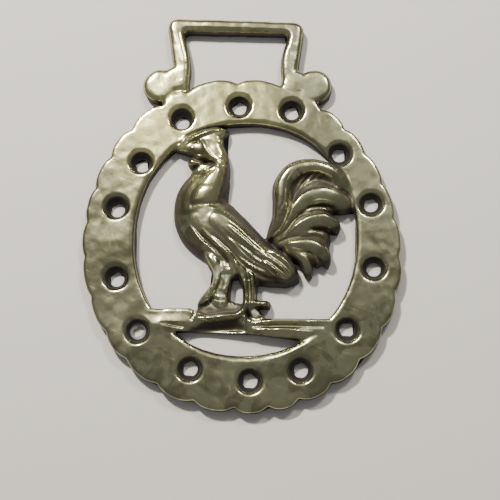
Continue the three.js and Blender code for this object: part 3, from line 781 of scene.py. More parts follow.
carve(cast, [wing_groove(*groove) for groove in WING_GROOVES])
carve(cast, [
    [(-6.4, 15.4, 1.6, -0.1), (-9, 13.8, 2, -0.5), (-12, 13.2, 2, -0.5), (-16, 13.4, 1.8, -0.34),
     (-21.5, 13, 1.6, -0.1)],
    [(-21, 21.4, 1.5, -0.02), (-17.5, 20.3, 1.8, -0.14), (-14, 20.6, 1.5, -0.08)],
    [(-28, 9.4, 2, -0.1), (-24.4, 8.6, 2.4, -0.22), (-20.5, 9.6, 1.6, -0.08)],
    [(-21.5, 4.2, 1.1, -0.1), (-19.5, 1.8, 1.4, -0.42), (-17, -1.2, 1.5, -0.52),
     (-13.5, -4.3, 1.5, -0.52), (-10, -7.6, 1.5, -0.5), (-7.5, -10.5, 1.4, -0.42),
     (-6.5, -13.5, 1.2, -0.2)],
    [(-12.5, -0.5, 1.1, -0.1), (-9, -3.6, 1.4, -0.36), (-5, -7.6, 1.6, -0.56),
     (-1.5, -11.5, 1.6, -0.62), (3, -15, 1.5, -0.52), (8, -17.6, 1.4, -0.42), (13, -19.3, 1.1, -0.15)],
    [(9.5, -8.2, 0.9, -0.3), (13, -10.6, 1, -0.5), (16.5, -13.4, 1, -0.5), (20, -17, 0.9, -0.3)],
    [(9, -11, 0.9, -0.3), (12, -13.2, 1, -0.5), (15.5, -16, 1, -0.5), (18, -18.6, 0.9, -0.3)],
    [(8.6, -13.6, 0.9, -0.25), (11.5, -15.8, 1, -0.45), (14.5, -18, 0.9, -0.35)],
    [(10.3, -15.9, 0.7, -0.12), (11.5, -18.4, 0.7, -0.16)],
    [(12.1, -16.2, 0.7, -0.12), (13.2, -18.4, 0.7, -0.14)],
])
carve(cast, [
    [(-23.5, 5, 1.1, 0.05), (-21, 1.4, 1.3, 0.22), (-19, -1.6, 1.4, 0.3), (-16, -4.4, 1.4, 0.26),
     (-12.5, -7.6, 1.3, 0.22), (-10.5, -10, 1.1, 0.1)],
    [(-17.5, 2, 1.1, 0.1), (-14, -1.6, 1.3, 0.26), (-10.5, -4.8, 1.4, 0.32), (-6, -8.5, 1.4, 0.32),
     (-3.3, -12, 1.3, 0.3), (-2.4, -15.5, 1.2, 0.28), (-0.6, -19, 1.1, 0.22), (0.7, -23, 1, 0.18)],
    [(10.5, -6.6, 0.9, 0.2), (14, -8.9, 1, 0.36), (17, -11.2, 1, 0.36), (19.8, -14, 0.9, 0.3),
     (21, -16.4, 0.8, 0.2)],
    [(10.5, -9.9, 0.8, 0.2), (13.5, -12.2, 0.9, 0.34), (16.5, -14.8, 0.9, 0.34), (18.8, -17.3, 0.8, 0.2)],
    [(10, -12.6, 0.8, 0.2), (13, -14.9, 0.9, 0.3), (16, -17.4, 0.8, 0.2)],
    [(-6.8, 3.4, 0.9, 0.1), (-2, -0.6, 0.9, 0.24), (3, -4.6, 0.9, 0.24), (7.5, -8, 0.8, 0.1)],
    [(-9.4, 0.8, 0.8, 0.1), (-5, -3.2, 0.9, 0.2), (0, -7.6, 0.9, 0.2), (5, -11.4, 0.8, 0.1)],
])
carve(cast, [
    [(9.5, -15, 2, 0.1), (8.2, -12, 2.4, 0.26), (8, -8.4, 2.6, 0.3), (9.2, -5.6, 2.2, 0.1)],
], shingled=True)

# %% [markdown]
# In the tail the shingles are the upper edges of the feathers, and every feather's lower edge has
# a thin lip with a dark groove below it. Between the sickle feather and the fan lies a hollow with
# a few narrow barbs in it.

# %% Carve the tail
carve(cast, [
    [(20.6, 14.5, 1.5, -0.4), (21.5, 18.5, 2.2, -0.75), (25, 22.8, 3.1, -1.0), (30, 24.4, 3.1, -1.0),
     (35, 22.9, 2.7, -0.9), (37.6, 20.8, 1.6, -0.4)],
    [(14.2, 9, 0.8, -0.05), (16.5, 13.5, 0.9, -0.22), (16.9, 18.5, 0.9, -0.28), (17.6, 23, 0.9, -0.18),
     (20, 27, 0.8, -0.05)],
    [(24.2, 9, 1.1, -0.25), (28, 11.9, 1.4, -0.55), (33, 12.3, 1.4, -0.6), (37.8, 11.2, 1.2, -0.4)],
    [(26.5, 1.4, 1, -0.25), (31, 2.1, 1.4, -0.5), (35, 1.4, 1.3, -0.6), (36.5, -0.7, 1.2, -0.5)],
    [(23.5, -1.5, 1, -0.25), (29, -1, 1.5, -0.5), (33, -2.2, 1.5, -0.6), (35.6, -3.9, 1.2, -0.45)],
    [(24.3, -8, 0.9, -0.15), (27.4, -8.3, 1.1, -0.4), (29, -11, 1.2, -0.5), (29.8, -13.6, 1, -0.5)],
    [(18.5, -7.5, 1.1, -0.2), (21, -10, 1.3, -0.4), (23, -12.6, 1.1, -0.4)],
    [(12, 0.2, 0.9, -0.2), (15.5, 3.6, 1, -0.42), (17.7, 8, 1.1, -0.46), (18.8, 11.6, 1, -0.3)],
    [(14.5, -0.7, 0.9, -0.2), (18, 2, 1, -0.38), (21, 6, 1.1, -0.4), (23.6, 9, 1, -0.3)],
    [(15, -2.9, 0.9, -0.2), (19, -1.6, 1, -0.36), (23, -0.8, 1, -0.36)],
])
carve(cast, [
    [(19, 8.5, 3.5, 0.2), (21.3, 13, 4.5, 0.42), (25, 17.2, 5.5, 0.46), (30, 19.3, 6, 0.44),
     (34, 19.7, 6, 0.4), (38.5, 18.6, 5.5, 0.34), (42, 16.5, 4.5, 0.1)],
    [(17.5, -1.4, 2.5, 0.1), (22, 3.6, 3.5, 0.38), (26, 6.3, 4.5, 0.44), (31.5, 8, 5, 0.42),
     (35.5, 7.3, 4.5, 0.36), (38.6, 5.2, 3, 0.15)],
    [(14.8, -5.1, 2, 0.1), (18, -4.1, 3, 0.3), (22, -3.3, 4, 0.42), (27, -2.8, 4.5, 0.44),
     (31, -3.6, 4.5, 0.4), (34.3, -6, 4, 0.34), (36, -9.6, 3, 0.15)],
    [(18, -5.8, 2, 0.1), (22, -6.7, 3, 0.26), (25, -7.7, 3.5, 0.34), (27.2, -10.5, 3, 0.34),
     (28.2, -15, 2.5, 0.2)],
    [(22.8, 7.8, 1.6, 0.1), (26, 10.2, 2, 0.26), (30, 11, 2, 0.28), (34.5, 10.6, 2, 0.28),
     (37, 9.2, 1.6, 0.1)],
    [(18, -1.2, 1.4, 0.1), (22, 1.2, 1.8, 0.24), (26, 2.3, 1.8, 0.24), (28.5, 1.6, 1.6, 0.2),
     (30.5, 0.6, 1.4, 0.1)],
    [(27.5, -8.5, 1.4, 0.1), (29.5, -9.8, 1.6, 0.24), (31.5, -11.6, 1.6, 0.24), (34, -12.6, 1.4, 0.1)],
], shingled=True)
carve(cast, [
    [(27.3, 12.4, 0.8, 0.1), (30, 13.6, 0.9, 0.24), (33, 13.9, 0.9, 0.24), (37.3, 13, 0.8, 0.15)],
    [(26, 2.9, 0.8, 0.1), (30, 3.5, 0.8, 0.18), (35, 3.1, 0.8, 0.18), (38, 2.1, 0.7, 0.1)],
    [(20.8, 17.8, 0.8, 0.1), (22.7, 21.2, 0.9, 0.36), (24.3, 23.6, 1, 0.46), (26, 25.7, 0.9, 0.2)],
    [(24.5, 21.2, 0.9, 0.2), (26.5, 23.3, 1.1, 0.56), (28.2, 25, 1.1, 0.56), (29.7, 26.1, 0.9, 0.2)],
    [(29.8, 24.4, 0.9, 0.2), (31, 25.2, 1, 0.44), (32.6, 25.5, 0.9, 0.2)],
    [(36.8, 22.9, 0.9, 0.2), (36.4, 21, 0.9, 0.26)],
    [(19.4, 15.2, 0.9, 0.26), (19.3, 18.2, 0.8, 0.26)],
    [(10, -1.3, 0.8, 0.15), (13, 0.2, 1, 0.32), (16, 2.3, 0.9, 0.24), (17.6, 4.6, 0.8, 0.1)],
    [(12.2, -3.3, 0.8, 0.15), (14.6, -2, 0.9, 0.26), (16.5, -1.2, 0.8, 0.1)],
    [(16, -1.6, 0.9, 0.2), (18.7, 0.4, 1, 0.3), (21, 3.2, 0.9, 0.2)],
])

# %% [markdown]
# Last come the legs and the ground: lines down the rear leg, the toes, a crack where the left
# ledge ends, the slope that drops away in front of the crest, and the slot's worn lower lip.

# %% Carve the legs and the ground
carve(cast, [
    [(-10.8, -12, 0.9, -0.1), (-9.4, -16.5, 1, -0.28), (-10.2, -21, 1, -0.28), (-12.5, -24.6, 0.9, -0.1)],
    [(-8, -13.5, 0.8, -0.1), (-7.4, -17.5, 0.9, -0.24), (-8.3, -22, 0.9, -0.2)],
    [(-14, -26, 0.8, -0.1), (-10, -27.2, 0.8, -0.22), (-6, -26.9, 0.8, -0.14)],
    [(1, -14, 0.8, -0.1), (2, -18, 0.9, -0.34), (2.4, -23, 0.9, -0.34), (2.2, -28, 0.9, -0.2)],
    [(3.8, -15.5, 0.8, -0.1), (5, -19.5, 0.9, -0.26), (5.1, -24.5, 0.8, -0.2)],
    [(-21.2, -30.8, 0.8, -0.2), (-20.3, -32.6, 1, -0.5), (-21.4, -35.2, 0.9, -0.3)],
    [(-34, -36.6, 0.8, -0.1), (-29, -37.4, 1.2, -0.4), (-24.5, -38.2, 1.6, -0.5)],
    [(-23.5, -39.8, 2, -0.6), (-18, -39.8, 3.6, -1.5), (-9, -39.4, 4, -1.7), (-3, -38.9, 3.8, -1.6),
     (0.5, -40, 2.4, -0.8), (4, -41, 1.4, -0.2)],
    [(4, -38, 1, -0.2), (10, -37.9, 1.2, -0.4), (20, -37.9, 1.2, -0.4), (32, -38.3, 1, -0.15)],
    [(1.6, -32, 0.8, -0.2), (2.4, -34.6, 0.9, -0.3), (4.8, -35.2, 0.8, -0.15)],
])
carve(cast, [
    [(-10.6, -17.5, 0.9, 0.12), (-11.6, -21, 1.1, 0.26), (-13, -23.6, 0.9, 0.1)],
    [(-12.6, -25.3, 1, 0.2), (-15.5, -27.4, 1.3, 0.36), (-18.3, -29.5, 1, 0.2)],
    [(-13.5, -25, 0.8, 0.1), (-10, -26.1, 0.9, 0.24), (-6.2, -25.9, 0.8, 0.18)],
    [(-21.5, -35.4, 0.8, 0.1), (-14, -34.7, 0.9, 0.22), (-8, -33.9, 0.9, 0.24), (-3, -33.4, 0.9, 0.24),
     (-0.6, -31.6, 0.9, 0.26), (0.9, -29, 1.1, 0.26)],
    [(2.4, -37.2, 0.9, 0.1), (8, -36.3, 1, 0.28), (15, -35.9, 1, 0.28), (24, -35.9, 1, 0.24),
     (34, -36, 0.9, 0.1)],
    [(6, -39.6, 0.8, 0.1), (9, -39.3, 1, 0.3), (12.2, -39.7, 0.8, 0.1), (15.5, -39.3, 1, 0.3),
     (22, -40, 1, 0.24), (28, -40.8, 0.8, 0.1)],
    [(-26, -40.2, 0.8, 0.1), (-20, -40.8, 0.9, 0.24), (-10, -40.6, 0.9, 0.2), (0, -40.6, 0.8, 0.15)],
    [(2.8, -19.2, 0.9, 0.2), (3.5, -21.6, 0.8, 0.15)],
    [(0.6, -19.5, 0.8, 0.15), (1.2, -26.5, 0.8, 0.15)],
])
carve(cast, [
    [(-25, -42.5, 2, -0.1), (-16, -46.6, 3, -0.3), (-6, -49, 3.4, -0.36), (4, -49.6, 3.4, -0.36),
     (14, -47.8, 3.2, -0.36), (24, -43.4, 2.4, -0.3), (29, -41.5, 1.6, -0.1)],
])
carve(cast, [
    [(-45, -36.8, 4.5, 0.1), (-37, -37, 4.8, 0.3), (-28, -36.8, 4.5, 0.3), (-22.6, -36, 3, 0.1)],
])
TOE_DOTS = [(3, -28.9, 1, 0.2), (2.7, -35.8, 1.2, 0.3), (6.8, -28.8, 1.4, 0.15)]
carve(cast, [dot(place) for place in TOE_DOTS])

# %% [markdown]
# A long life under thumbs and polishing cloths has worn the rims of the holes, so each hole lies
# in a shallow dish. Its lower side catches the light as a bright crescent.

# %% Dish the holes
DISH_WIDTH, DISH_DEPTH, DISH_FADE = 0.65, 0.16, 1.0
DISH_PASSES, RIM_PASSES = 1, 3
OFF_LEVEL = 0.85


def hole_gaps(points, number):
    """How far each point lies from the middle of a hole."""
    middle = np.array(hole_middle(number)[:2])
    return np.linalg.norm(points[:, :2] - middle, axis=1)


points, normals = points_of(cast)
for number in range(len(HOLES)):
    gap = np.clip(hole_gaps(points, number) - HOLE_RIM, 0, None)
    dish = np.clip(1 - gap / DISH_WIDTH, 0, 1) ** 2
    points[:, 2] -= DISH_DEPTH * dish * smooth_fade((points[:, 2] - PLATE + DISH_FADE) / DISH_FADE)
move_points(cast, points)
points, normals = points_of(cast)
soften(cast, normals[:, 2] > UPWARD, DISH_PASSES)
points, normals = points_of(cast)
soften(cast, np.abs(normals[:, 2]) < OFF_LEVEL, RIM_PASSES, sideways=True)
describe(cast, "carved:")

# %% [markdown]
# A sand casting is never quite flat, and long years of polish have softened it. Slow noise makes
# the face roll a little, so that its reflections wander, finer noise makes shallow dents, and the
# finest leaves the grain of the sand. The highest places are worn down to the same height. The
# back is flattened again afterwards, since the brass lies on it.

# %% Cast surface
WAVES = [(0.12, 8.0), (0.06, 2.0), (0.012, 0.8)]
BACK_SKIN, BACKWARD = 0.15, -0.5
HIGHEST, WORN_RANGE = 5.6, 0.5


def waves(points, size):
    return np.array([noise.noise(Vector(point) / size) for point in points])


points, normals = points_of(cast)
swell = sum(height * waves(points, size) for height, size in WAVES)
points += normals * swell[:, None]
over = np.maximum(points[:, 2] - HIGHEST + WORN_RANGE, 0) / WORN_RANGE
points[:, 2] += WORN_RANGE * (np.tanh(over) - over)
on_back = (points[:, 2] < BACK_SKIN) & (normals[:, 2] < BACKWARD)
points[on_back, 2] = 0
points[:, 2] = np.maximum(points[:, 2], 0)
move_points(cast, points)
print("surface moved by up to", round(float(np.abs(swell).max()), 3), "mm")
print(int(on_back.sum()), "points on the back")

# %% [markdown]
# Tarnish stays where a cloth can't reach. To find those places, the height of the face is written
# on a fine grid, each grid cell looks for the highest metal near it, and a point's recess is how
# far it lies below that. This is done with a short and a long reach. The walls and the holes were
# never polished at all, so they count as deep recesses, which gives them tarnish and painted shade
# on top of it. The recess, painted shade included, becomes an attribute of the mesh, for the
# material to read.

# %% Recess attribute
CELL = 0.3
REACHES = [(3, 1.3, 0.6), (7, 2.6, 0.4)]
WIDEST = max(reach for reach, depth, share in REACHES)
WALL_TILT, WALL_TILT_FADE, WALL_FADE, WALL_TARNISH_AND_SHADE = 0.55, 0.4, 0.8, 0.8
HOLE_EDGE = 0.25
RECESS_BLUR = 4


def blurred(mesh, values, passes):
    """Moves each point's value towards the mean of its neighbours."""
    pairs = np.empty(2 * len(mesh.edges), np.int32)
    mesh.edges.foreach_get("vertices", pairs)
    ends, others = pairs.reshape(-1, 2).T
    count = np.bincount(pairs, minlength=len(values))
    for _ in range(passes):
        total = np.bincount(ends, values[others], len(values))
        total += np.bincount(others, values[ends], len(values))
        values = (values + total / count) / 2
    return values


def highest_near(heights, reach):
    best = heights.copy()
    for row in range(-reach, reach + 1):
        for column in range(-reach, reach + 1):
            if row * row + column * column <= reach * reach:
                best = np.maximum(best, np.roll(heights, (row, column), axis=(0, 1)))
    return best


points, normals = points_of(cast)
corner = points[:, :2].min(axis=0) - CELL * (WIDEST + 2)
cells = ((points[:, :2] - corner) / CELL).astype(int)
heights = np.zeros(cells.max(axis=0) + WIDEST + 3)
np.maximum.at(heights, (cells[:, 0], cells[:, 1]), points[:, 2])


def depth_below(reach):
    return highest_near(heights, reach)[cells[:, 0], cells[:, 1]] - points[:, 2]


recess_and_shade = sum(share * np.clip(depth_below(reach) / depth, 0, 1) for reach, depth, share in REACHES)
# Steep low walls count as recesses: tarnish on them, and painted shade on top of it.
wall_tarnish_and_shade = smooth_fade((WALL_TILT - normals[:, 2]) / WALL_TILT_FADE)
wall_tarnish_and_shade *= smooth_fade((PLATE - points[:, 2]) / WALL_FADE)
# The hole cones likewise: tarnish, and painted shade on top of it.
hole_tarnish_and_shade = np.zeros(len(points))
for number in range(len(HOLES)):
    inside = HOLE_RIM - HOLE_EDGE - hole_gaps(points, number)
    hole_tarnish_and_shade = np.maximum(hole_tarnish_and_shade, smooth_fade(inside / HOLE_EDGE))
recess_and_shade = np.maximum(recess_and_shade, np.maximum(WALL_TARNISH_AND_SHADE * wall_tarnish_and_shade, hole_tarnish_and_shade))
recess_and_shade = blurred(cast.data, recess_and_shade, RECESS_BLUR)
attribute = cast.data.attributes.new("recess_and_shade", "FLOAT", "POINT")
attribute.data.foreach_set("value", recess_and_shade.astype(np.float32))
print("recess from", round(float(recess_and_shade.min()), 2), "to", round(float(recess_and_shade.max()), 2))

# %% [markdown]
# The mesh is thinned on its flat back first, where no detail is lost, and then gently all over.
# The casting is moved to its place in the measured frame and made into metres. The face is shaded
# smooth, but the edge around the back stays crisp, as the grinding of the back left it.

# %% Thin the casting and put it in place
TRIANGLE_LIMIT = 195000
ON_BACK = -0.9


def triangle_count(body):
    return sum(len(polygon.vertices) - 2 for polygon in body.data.polygons)


def thinned(body, limit, group_name=""):
    thin = body.modifiers.new("thin", "DECIMATE")
    thin.vertex_group = group_name
    thin.ratio = min(1, limit / triangle_count(body))
    baked(body)


mark(cast, on_back, "back")
thinned(cast, TRIANGLE_LIMIT, "back")
cast.vertex_groups.clear()
thinned(cast, TRIANGLE_LIMIT)
for vert in cast.data.vertices:
    vert.co.z = max(vert.co.z, 0)


def sharpen_back(body):
    bm = bmesh.new()
    bm.from_mesh(body.data)
    for edge in bm.edges:
        if len({face.normal.z < ON_BACK for face in edge.link_faces}) == 2:
            edge.smooth = False
    bm.to_mesh(body.data)
    bm.free()


cast.data.transform(Matrix.Scale(MM, 4) @ Matrix.Translation((RING_X, RING_Y, 0)))
cast.data.shade_smooth()
sharpen_back(cast)
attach(cast, "root")
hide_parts("horse_brass")
print("finished casting", triangle_count(cast), "triangles")

# %% [markdown]
# The brass is one metal with several states. Handling keeps the high places bright, the recesses
# hold brown tarnish, and the ring has gone olive, with yellow patches at the upper left that are
# partly where it was polished last and partly a painted highlight. Some stain spots, the walls and
# the holes carry painted shade as well. Each state is a mask, and masks that could serve another
# part are node groups.

# %% Node helpers
def feed(tree, value, socket):
    """Links a value that is another node's output, and writes any other one on the socket."""
    if isinstance(value, bpy.types.NodeSocket):
        tree.links.new(value, socket)
    else:
        socket.default_value = value


def math_node(tree, operation, first, second, clamp=False):
    node = tree.nodes.new("ShaderNodeMath")
    node.operation = operation
    node.use_clamp = clamp
    for socket, value in zip(node.inputs, (first, second)):
        feed(tree, value, socket)
    return node.outputs[0]


def times(tree, first, second):
    return math_node(tree, "MULTIPLY", first, second)


def plus(tree, first, second):
    return math_node(tree, "ADD", first, second)


def minus(tree, first, second):
    return math_node(tree, "SUBTRACT", first, second)


def larger(tree, first, second):
    return math_node(tree, "MAXIMUM", first, second)


def noise_node(tree, vector, scale, detail, roughness, distortion=0.0):
    node = tree.nodes.new("ShaderNodeTexNoise")
    values = {"Vector": vector, "Scale": scale, "Detail": detail,
              "Roughness": roughness, "Distortion": distortion}
    for label, value in values.items():
        feed(tree, value, node.inputs[label])
    return node.outputs["Fac"]


def ramp_node(tree, value, low, high):
    node = tree.nodes.new("ShaderNodeMapRange")
    node.interpolation_type = "SMOOTHSTEP"
    for label, source in {"Value": value, "From Min": low, "From Max": high}.items():
        feed(tree, source, node.inputs[label])
    return node.outputs["Result"]


def object_coordinates(tree):
    return tree.nodes.new("ShaderNodeTexCoord").outputs["Object"]


# %% [markdown]
# The tarnish group turns a recess into a mask with an uneven border, by adding noise before the
# threshold. The patches group gives broad cloudy areas. The scratches group draws fine lines in
# one direction: noise that is stretched fourteen times longer than it is wide. Each group ends in
# one soft threshold, between its inputs Start and End.

# %% Node groups for tarnish, patches and scratches
NOISE_MEAN, RAGGED_SHARE = 0.5, 0.34
SCRATCH_STRETCH = 14


def mask_group(name, draw, **inputs):
    """A node group that draws a value and puts it out as a mask between Start and End."""
    tree = bpy.data.node_groups.new(name, "ShaderNodeTree")
    for label, value in inputs.items():
        socket = tree.interface.new_socket(label, in_out="INPUT", socket_type="NodeSocketFloat")
        socket.default_value = value
    tree.interface.new_socket("Mask", in_out="OUTPUT", socket_type="NodeSocketFloat")
    source = tree.nodes.new("NodeGroupInput").outputs
    result = tree.nodes.new("NodeGroupOutput")
    mask = ramp_node(tree, draw(tree, source), source["Start"], source["End"])
    tree.links.new(mask, result.inputs["Mask"])
    return tree


def uneven_recess(tree, source):
    place = object_coordinates(tree)
    ragged = noise_node(tree, place, source["Scale"], detail=5, roughness=0.6)
    return plus(tree, source["Recess"], times(tree, minus(tree, ragged, NOISE_MEAN), RAGGED_SHARE))


def clouds(tree, source):
    place = object_coordinates(tree)
    return noise_node(tree, place, source["Scale"], detail=4, roughness=0.55, distortion=0.6)


def fine_lines(tree, source):
    turned = tree.nodes.new("ShaderNodeVectorRotate")
    turned.rotation_type = "Z_AXIS"
    tree.links.new(object_coordinates(tree), turned.inputs["Vector"])
    tree.links.new(source["Turn"], turned.inputs["Angle"])
    stretched = tree.nodes.new("ShaderNodeVectorMath")
    stretched.operation = "MULTIPLY"
    stretched.inputs[1].default_value = (1, SCRATCH_STRETCH, 1)
    tree.links.new(turned.outputs[0], stretched.inputs[0])
    return noise_node(tree, stretched.outputs[0], source["Scale"], detail=3, roughness=0.6)


TARNISH = mask_group("tarnish in recesses", uneven_recess, Recess=0, Start=0.3, End=0.7, Scale=900)
PATCHES = mask_group("cloudy patches", clouds, Scale=60, Start=0.45, End=0.6)
SCRATCHES = mask_group("fine scratches", fine_lines, Turn=0, Scale=40, Start=0.6, End=0.72)
print("node groups", [tree.name for tree in (TARNISH, PATCHES, SCRATCHES)])

# %% [markdown]
# Three more helpers belong to the material itself. One places a group, one mixes two colours, and
# one makes a spot: a soft round mask at a fixed place on the brass, which is one minus the distance
# to its middle. Spots are for what lies at one place only: real marks, painted shade and a painted
# highlight.


# %% Helpers for the material
def placed(tree, group, **values):
    node = tree.nodes.new("ShaderNodeGroup")
    node.node_tree = group
    for label, value in values.items():
        feed(tree, value, node.inputs[label])
    return node.outputs["Mask"]


def blend_colours(tree, mask, first, second):
    node = tree.nodes.new("ShaderNodeMix")
    node.data_type = "RGBA"
    tree.links.new(mask, node.inputs["Factor"])
    feed(tree, first, node.inputs[6])
    feed(tree, second, node.inputs[7])
    return node.outputs[2]


def spot(tree, middle, radius):
    """A round mask around a place given in millimetres on the ring's own axes."""
    distance = tree.nodes.new("ShaderNodeVectorMath")
    distance.operation = "DISTANCE"
    tree.links.new(object_coordinates(tree), distance.inputs[0])
    distance.inputs[1].default_value = [
        MM * value for value in (middle[0] + RING_X, middle[1] + RING_Y, middle[2])
    ]
    share = math_node(tree, "DIVIDE", distance.outputs["Value"], radius * MM)
    return math_node(tree, "SUBTRACT", 1, share, clamp=True)


# %% [markdown]
# Now the masks. Golden and yellow patches at the upper left are partly old polish, rubbed last, and
# partly a painted highlight. Random brown stains lie elsewhere, and stain spots darken a few places,
# partly as painted shade. Tarnish fills the recesses and a thinner film lies around it, and the
# walls and the holes get painted shade with their tarnish. Pale polish has dried between the legs,
# and the skin of metal in the hole is raw and silvery.

# %% Masks of the old brass
# A golden patch at the upper left: partly old polish, partly a painted highlight.
POLISH_AND_SHEEN_PLACE, POLISH_AND_SHEEN_REACH = (-13, 33, 3), 30
STAIN_SHARE = 0.62
# Each stain spot and residue is a place, a reach in millimetres and, for a stain spot, a strength.
# The stain spots darken the breast's left flank, the head, the wing, the ring's left and its upper
# right; on the breast's flank and the ring's left this darkening is painted shade.
STAIN_AND_SHADE_SPOTS = [
    (-14, 9.5, 4, 7.5, 0.9), (-9.5, 22.5, 4, 5.5, 0.75), (-3, 1, 4.5, 7, 0.4),
    (-30, 3, 3, 17, 0.6), (15.8, 27.2, 3, 9, 0.55),
]
RESIDUE_SHARE = 0.75
RESIDUES = [(-8.5, -17, 3.6, 3.4), (-11, -27.5, 3.3, 2.8), (4.5, -32.5, 3.2, 1.6)]
SILVER_SHARE, SILVER_REACH = 0.8, 2.3


def stain_and_shade_mask(tree, polish_and_sheen):
    stain_and_shade = placed(tree, PATCHES, Scale=150, Start=0.48, End=0.56)
    stain_and_shade = times(tree, times(tree, stain_and_shade, STAIN_SHARE), minus(tree, 1, polish_and_sheen))
    # Stain spots: some are real stains, and on the breast's flank and the ring's left they are painted
    # shade.
    for *place, reach, strength in STAIN_AND_SHADE_SPOTS:
        here = ramp_node(tree, spot(tree, place, reach), low=0, high=0.7)
        stain_and_shade = larger(tree, stain_and_shade, times(tree, here, strength))
    return stain_and_shade


def residue_mask(tree):
    legs = [
        spot(tree, (OPENING_X + across * SHARE, OPENING_Y + up * SHARE, height), radius)
        for across, up, height, radius in RESIDUES
    ]
    near_legs = plus(tree, plus(tree, legs[0], legs[1]), legs[2])
    patchy = times(tree, near_legs, placed(tree, PATCHES, Scale=420, Start=0.4, End=0.6))
    return times(tree, ramp_node(tree, patchy, low=0.12, high=0.5), RESIDUE_SHARE)


def silver_mask(tree):
    flash = hole_middle(FLASH_HOLE)
    here = spot(tree, (flash.x, flash.y, FLASH_THICKNESS), SILVER_REACH)
    return times(tree, ramp_node(tree, here, low=0.1, high=0.35), SILVER_SHARE)


def brass_masks(tree):
    recess_and_shade = tree.nodes.new("ShaderNodeAttribute")
    recess_and_shade.attribute_name = "recess_and_shade"
    depth = recess_and_shade.outputs["Fac"]
    # Partly old polish, partly a painted highlight at the upper left.
    polish_and_sheen = ramp_node(tree, spot(tree, POLISH_AND_SHEEN_PLACE, POLISH_AND_SHEEN_REACH), low=0, high=0.5)
    lines = placed(tree, SCRATCHES, Turn=0.4, Scale=130)
    crossed = placed(tree, SCRATCHES, Turn=1.3, Scale=160)
    return {
        "polish_and_sheen": polish_and_sheen,
        "yellow_sheen": placed(tree, PATCHES, Scale=180, Start=0.5, End=0.6),
        "green": placed(tree, PATCHES, Scale=95, Start=0.48, End=0.68),
        "stain_and_shade": stain_and_shade_mask(tree, polish_and_sheen),
        "film": placed(tree, TARNISH, Recess=depth, Start=0.16, End=0.62),
        # Tarnish in the hollows, and painted shade on the walls and in the holes.
        "tarnish_and_shade": placed(tree, TARNISH, Recess=depth, Start=0.36, End=0.66),
        # Painted shade, nearly black, in the holes and the deepest recesses.
        "black_shade": ramp_node(tree, depth, low=0.84, high=0.98),
        "residue": residue_mask(tree),
        "silver": silver_mask(tree),
        "scratched": larger(tree, lines, crossed),
    }


print(len(STAIN_AND_SHADE_SPOTS), "stains and", len(RESIDUES), "places with dried polish")

# %% [markdown]
# The colour starts as plain olive and is mixed with one layer after the other, each by its mask.
# The roughness grows in the same way, and metal that is covered by tarnish or dried polish no
# longer shines as metal. A fine bump gives the grain that is too small for the mesh.

# %% The old brass
OLIVE = (0.44, 0.435, 0.26, 1)
# Golden and yellow are partly old polish and partly a painted highlight at the upper left.
GOLDEN_SHEEN, GOLDEN_SHEEN_SHARE = (0.6, 0.545, 0.25, 1), 0.7
YELLOW_SHEEN = (0.8, 0.74, 0.36, 1)
# Dark olive of real stains, which also serves as painted shade at some stain spots.
STAIN_AND_SHADE = (0.14, 0.135, 0.075, 1)
GREENISH, GREEN_SHARE = (0.35, 0.36, 0.22, 1), 0.55
# Brown tarnish, which on the walls and in the holes is also painted shade.
BROWN, FILM_SHARE = (0.034, 0.026, 0.014, 1), 0.45
# Painted shade: nearly black in the holes and the deepest recesses.
BLACK_SHADE = (0.012, 0.01, 0.009, 1)
RESIDUE = (0.30, 0.33, 0.25, 1)
SKIN_SILVER = (0.3, 0.3, 0.29, 1)
SATIN = 0.17
ROUGHER = {"green": 0.07, "stain_and_shade": 0.06, "scratched": 0.05}
FILM_DULLNESS, DULLNESS, LOST_METAL = 0.4, 0.4, 0.9
GRAIN_SCALE, GRAIN_BUMP, SCRATCH_BUMP = 1500, 0.6, 0.35
BUMP_STRENGTH, BUMP_HEIGHT = 0.35, 0.03


def layered_colour(tree, masks):
    colour = OLIVE
    for mask, layer in (
        # Painted highlight, with old polish, at the upper left.
        (times(tree, masks["polish_and_sheen"], GOLDEN_SHEEN_SHARE), GOLDEN_SHEEN),
        (times(tree, masks["yellow_sheen"], masks["polish_and_sheen"]), YELLOW_SHEEN),
        # Real stains and, at some spots, painted shade.
        (masks["stain_and_shade"], STAIN_AND_SHADE),
        (times(tree, masks["green"], GREEN_SHARE), GREENISH),
        (times(tree, masks["film"], FILM_SHARE), BROWN),
        # Tarnish, and painted shade on the walls and in the holes.
        (masks["tarnish_and_shade"], BROWN),
        # Painted shade, nearly black, in the holes and the deepest recesses.
        (masks["black_shade"], BLACK_SHADE),
        (masks["residue"], RESIDUE),
        (masks["silver"], SKIN_SILVER),
    ):
        colour = blend_colours(tree, mask, colour, layer)
    return colour


def grain_bump(tree, scratched):
    grain = noise_node(tree, object_coordinates(tree), GRAIN_SCALE, detail=4, roughness=0.6)
    bump = tree.nodes.new("ShaderNodeBump")
    bump.inputs["Strength"].default_value = BUMP_STRENGTH
    bump.inputs["Distance"].default_value = BUMP_HEIGHT * MM
    height = minus(tree, times(tree, grain, GRAIN_BUMP), times(tree, scratched, SCRATCH_BUMP))
    tree.links.new(height, bump.inputs["Height"])
    return bump.outputs["Normal"]


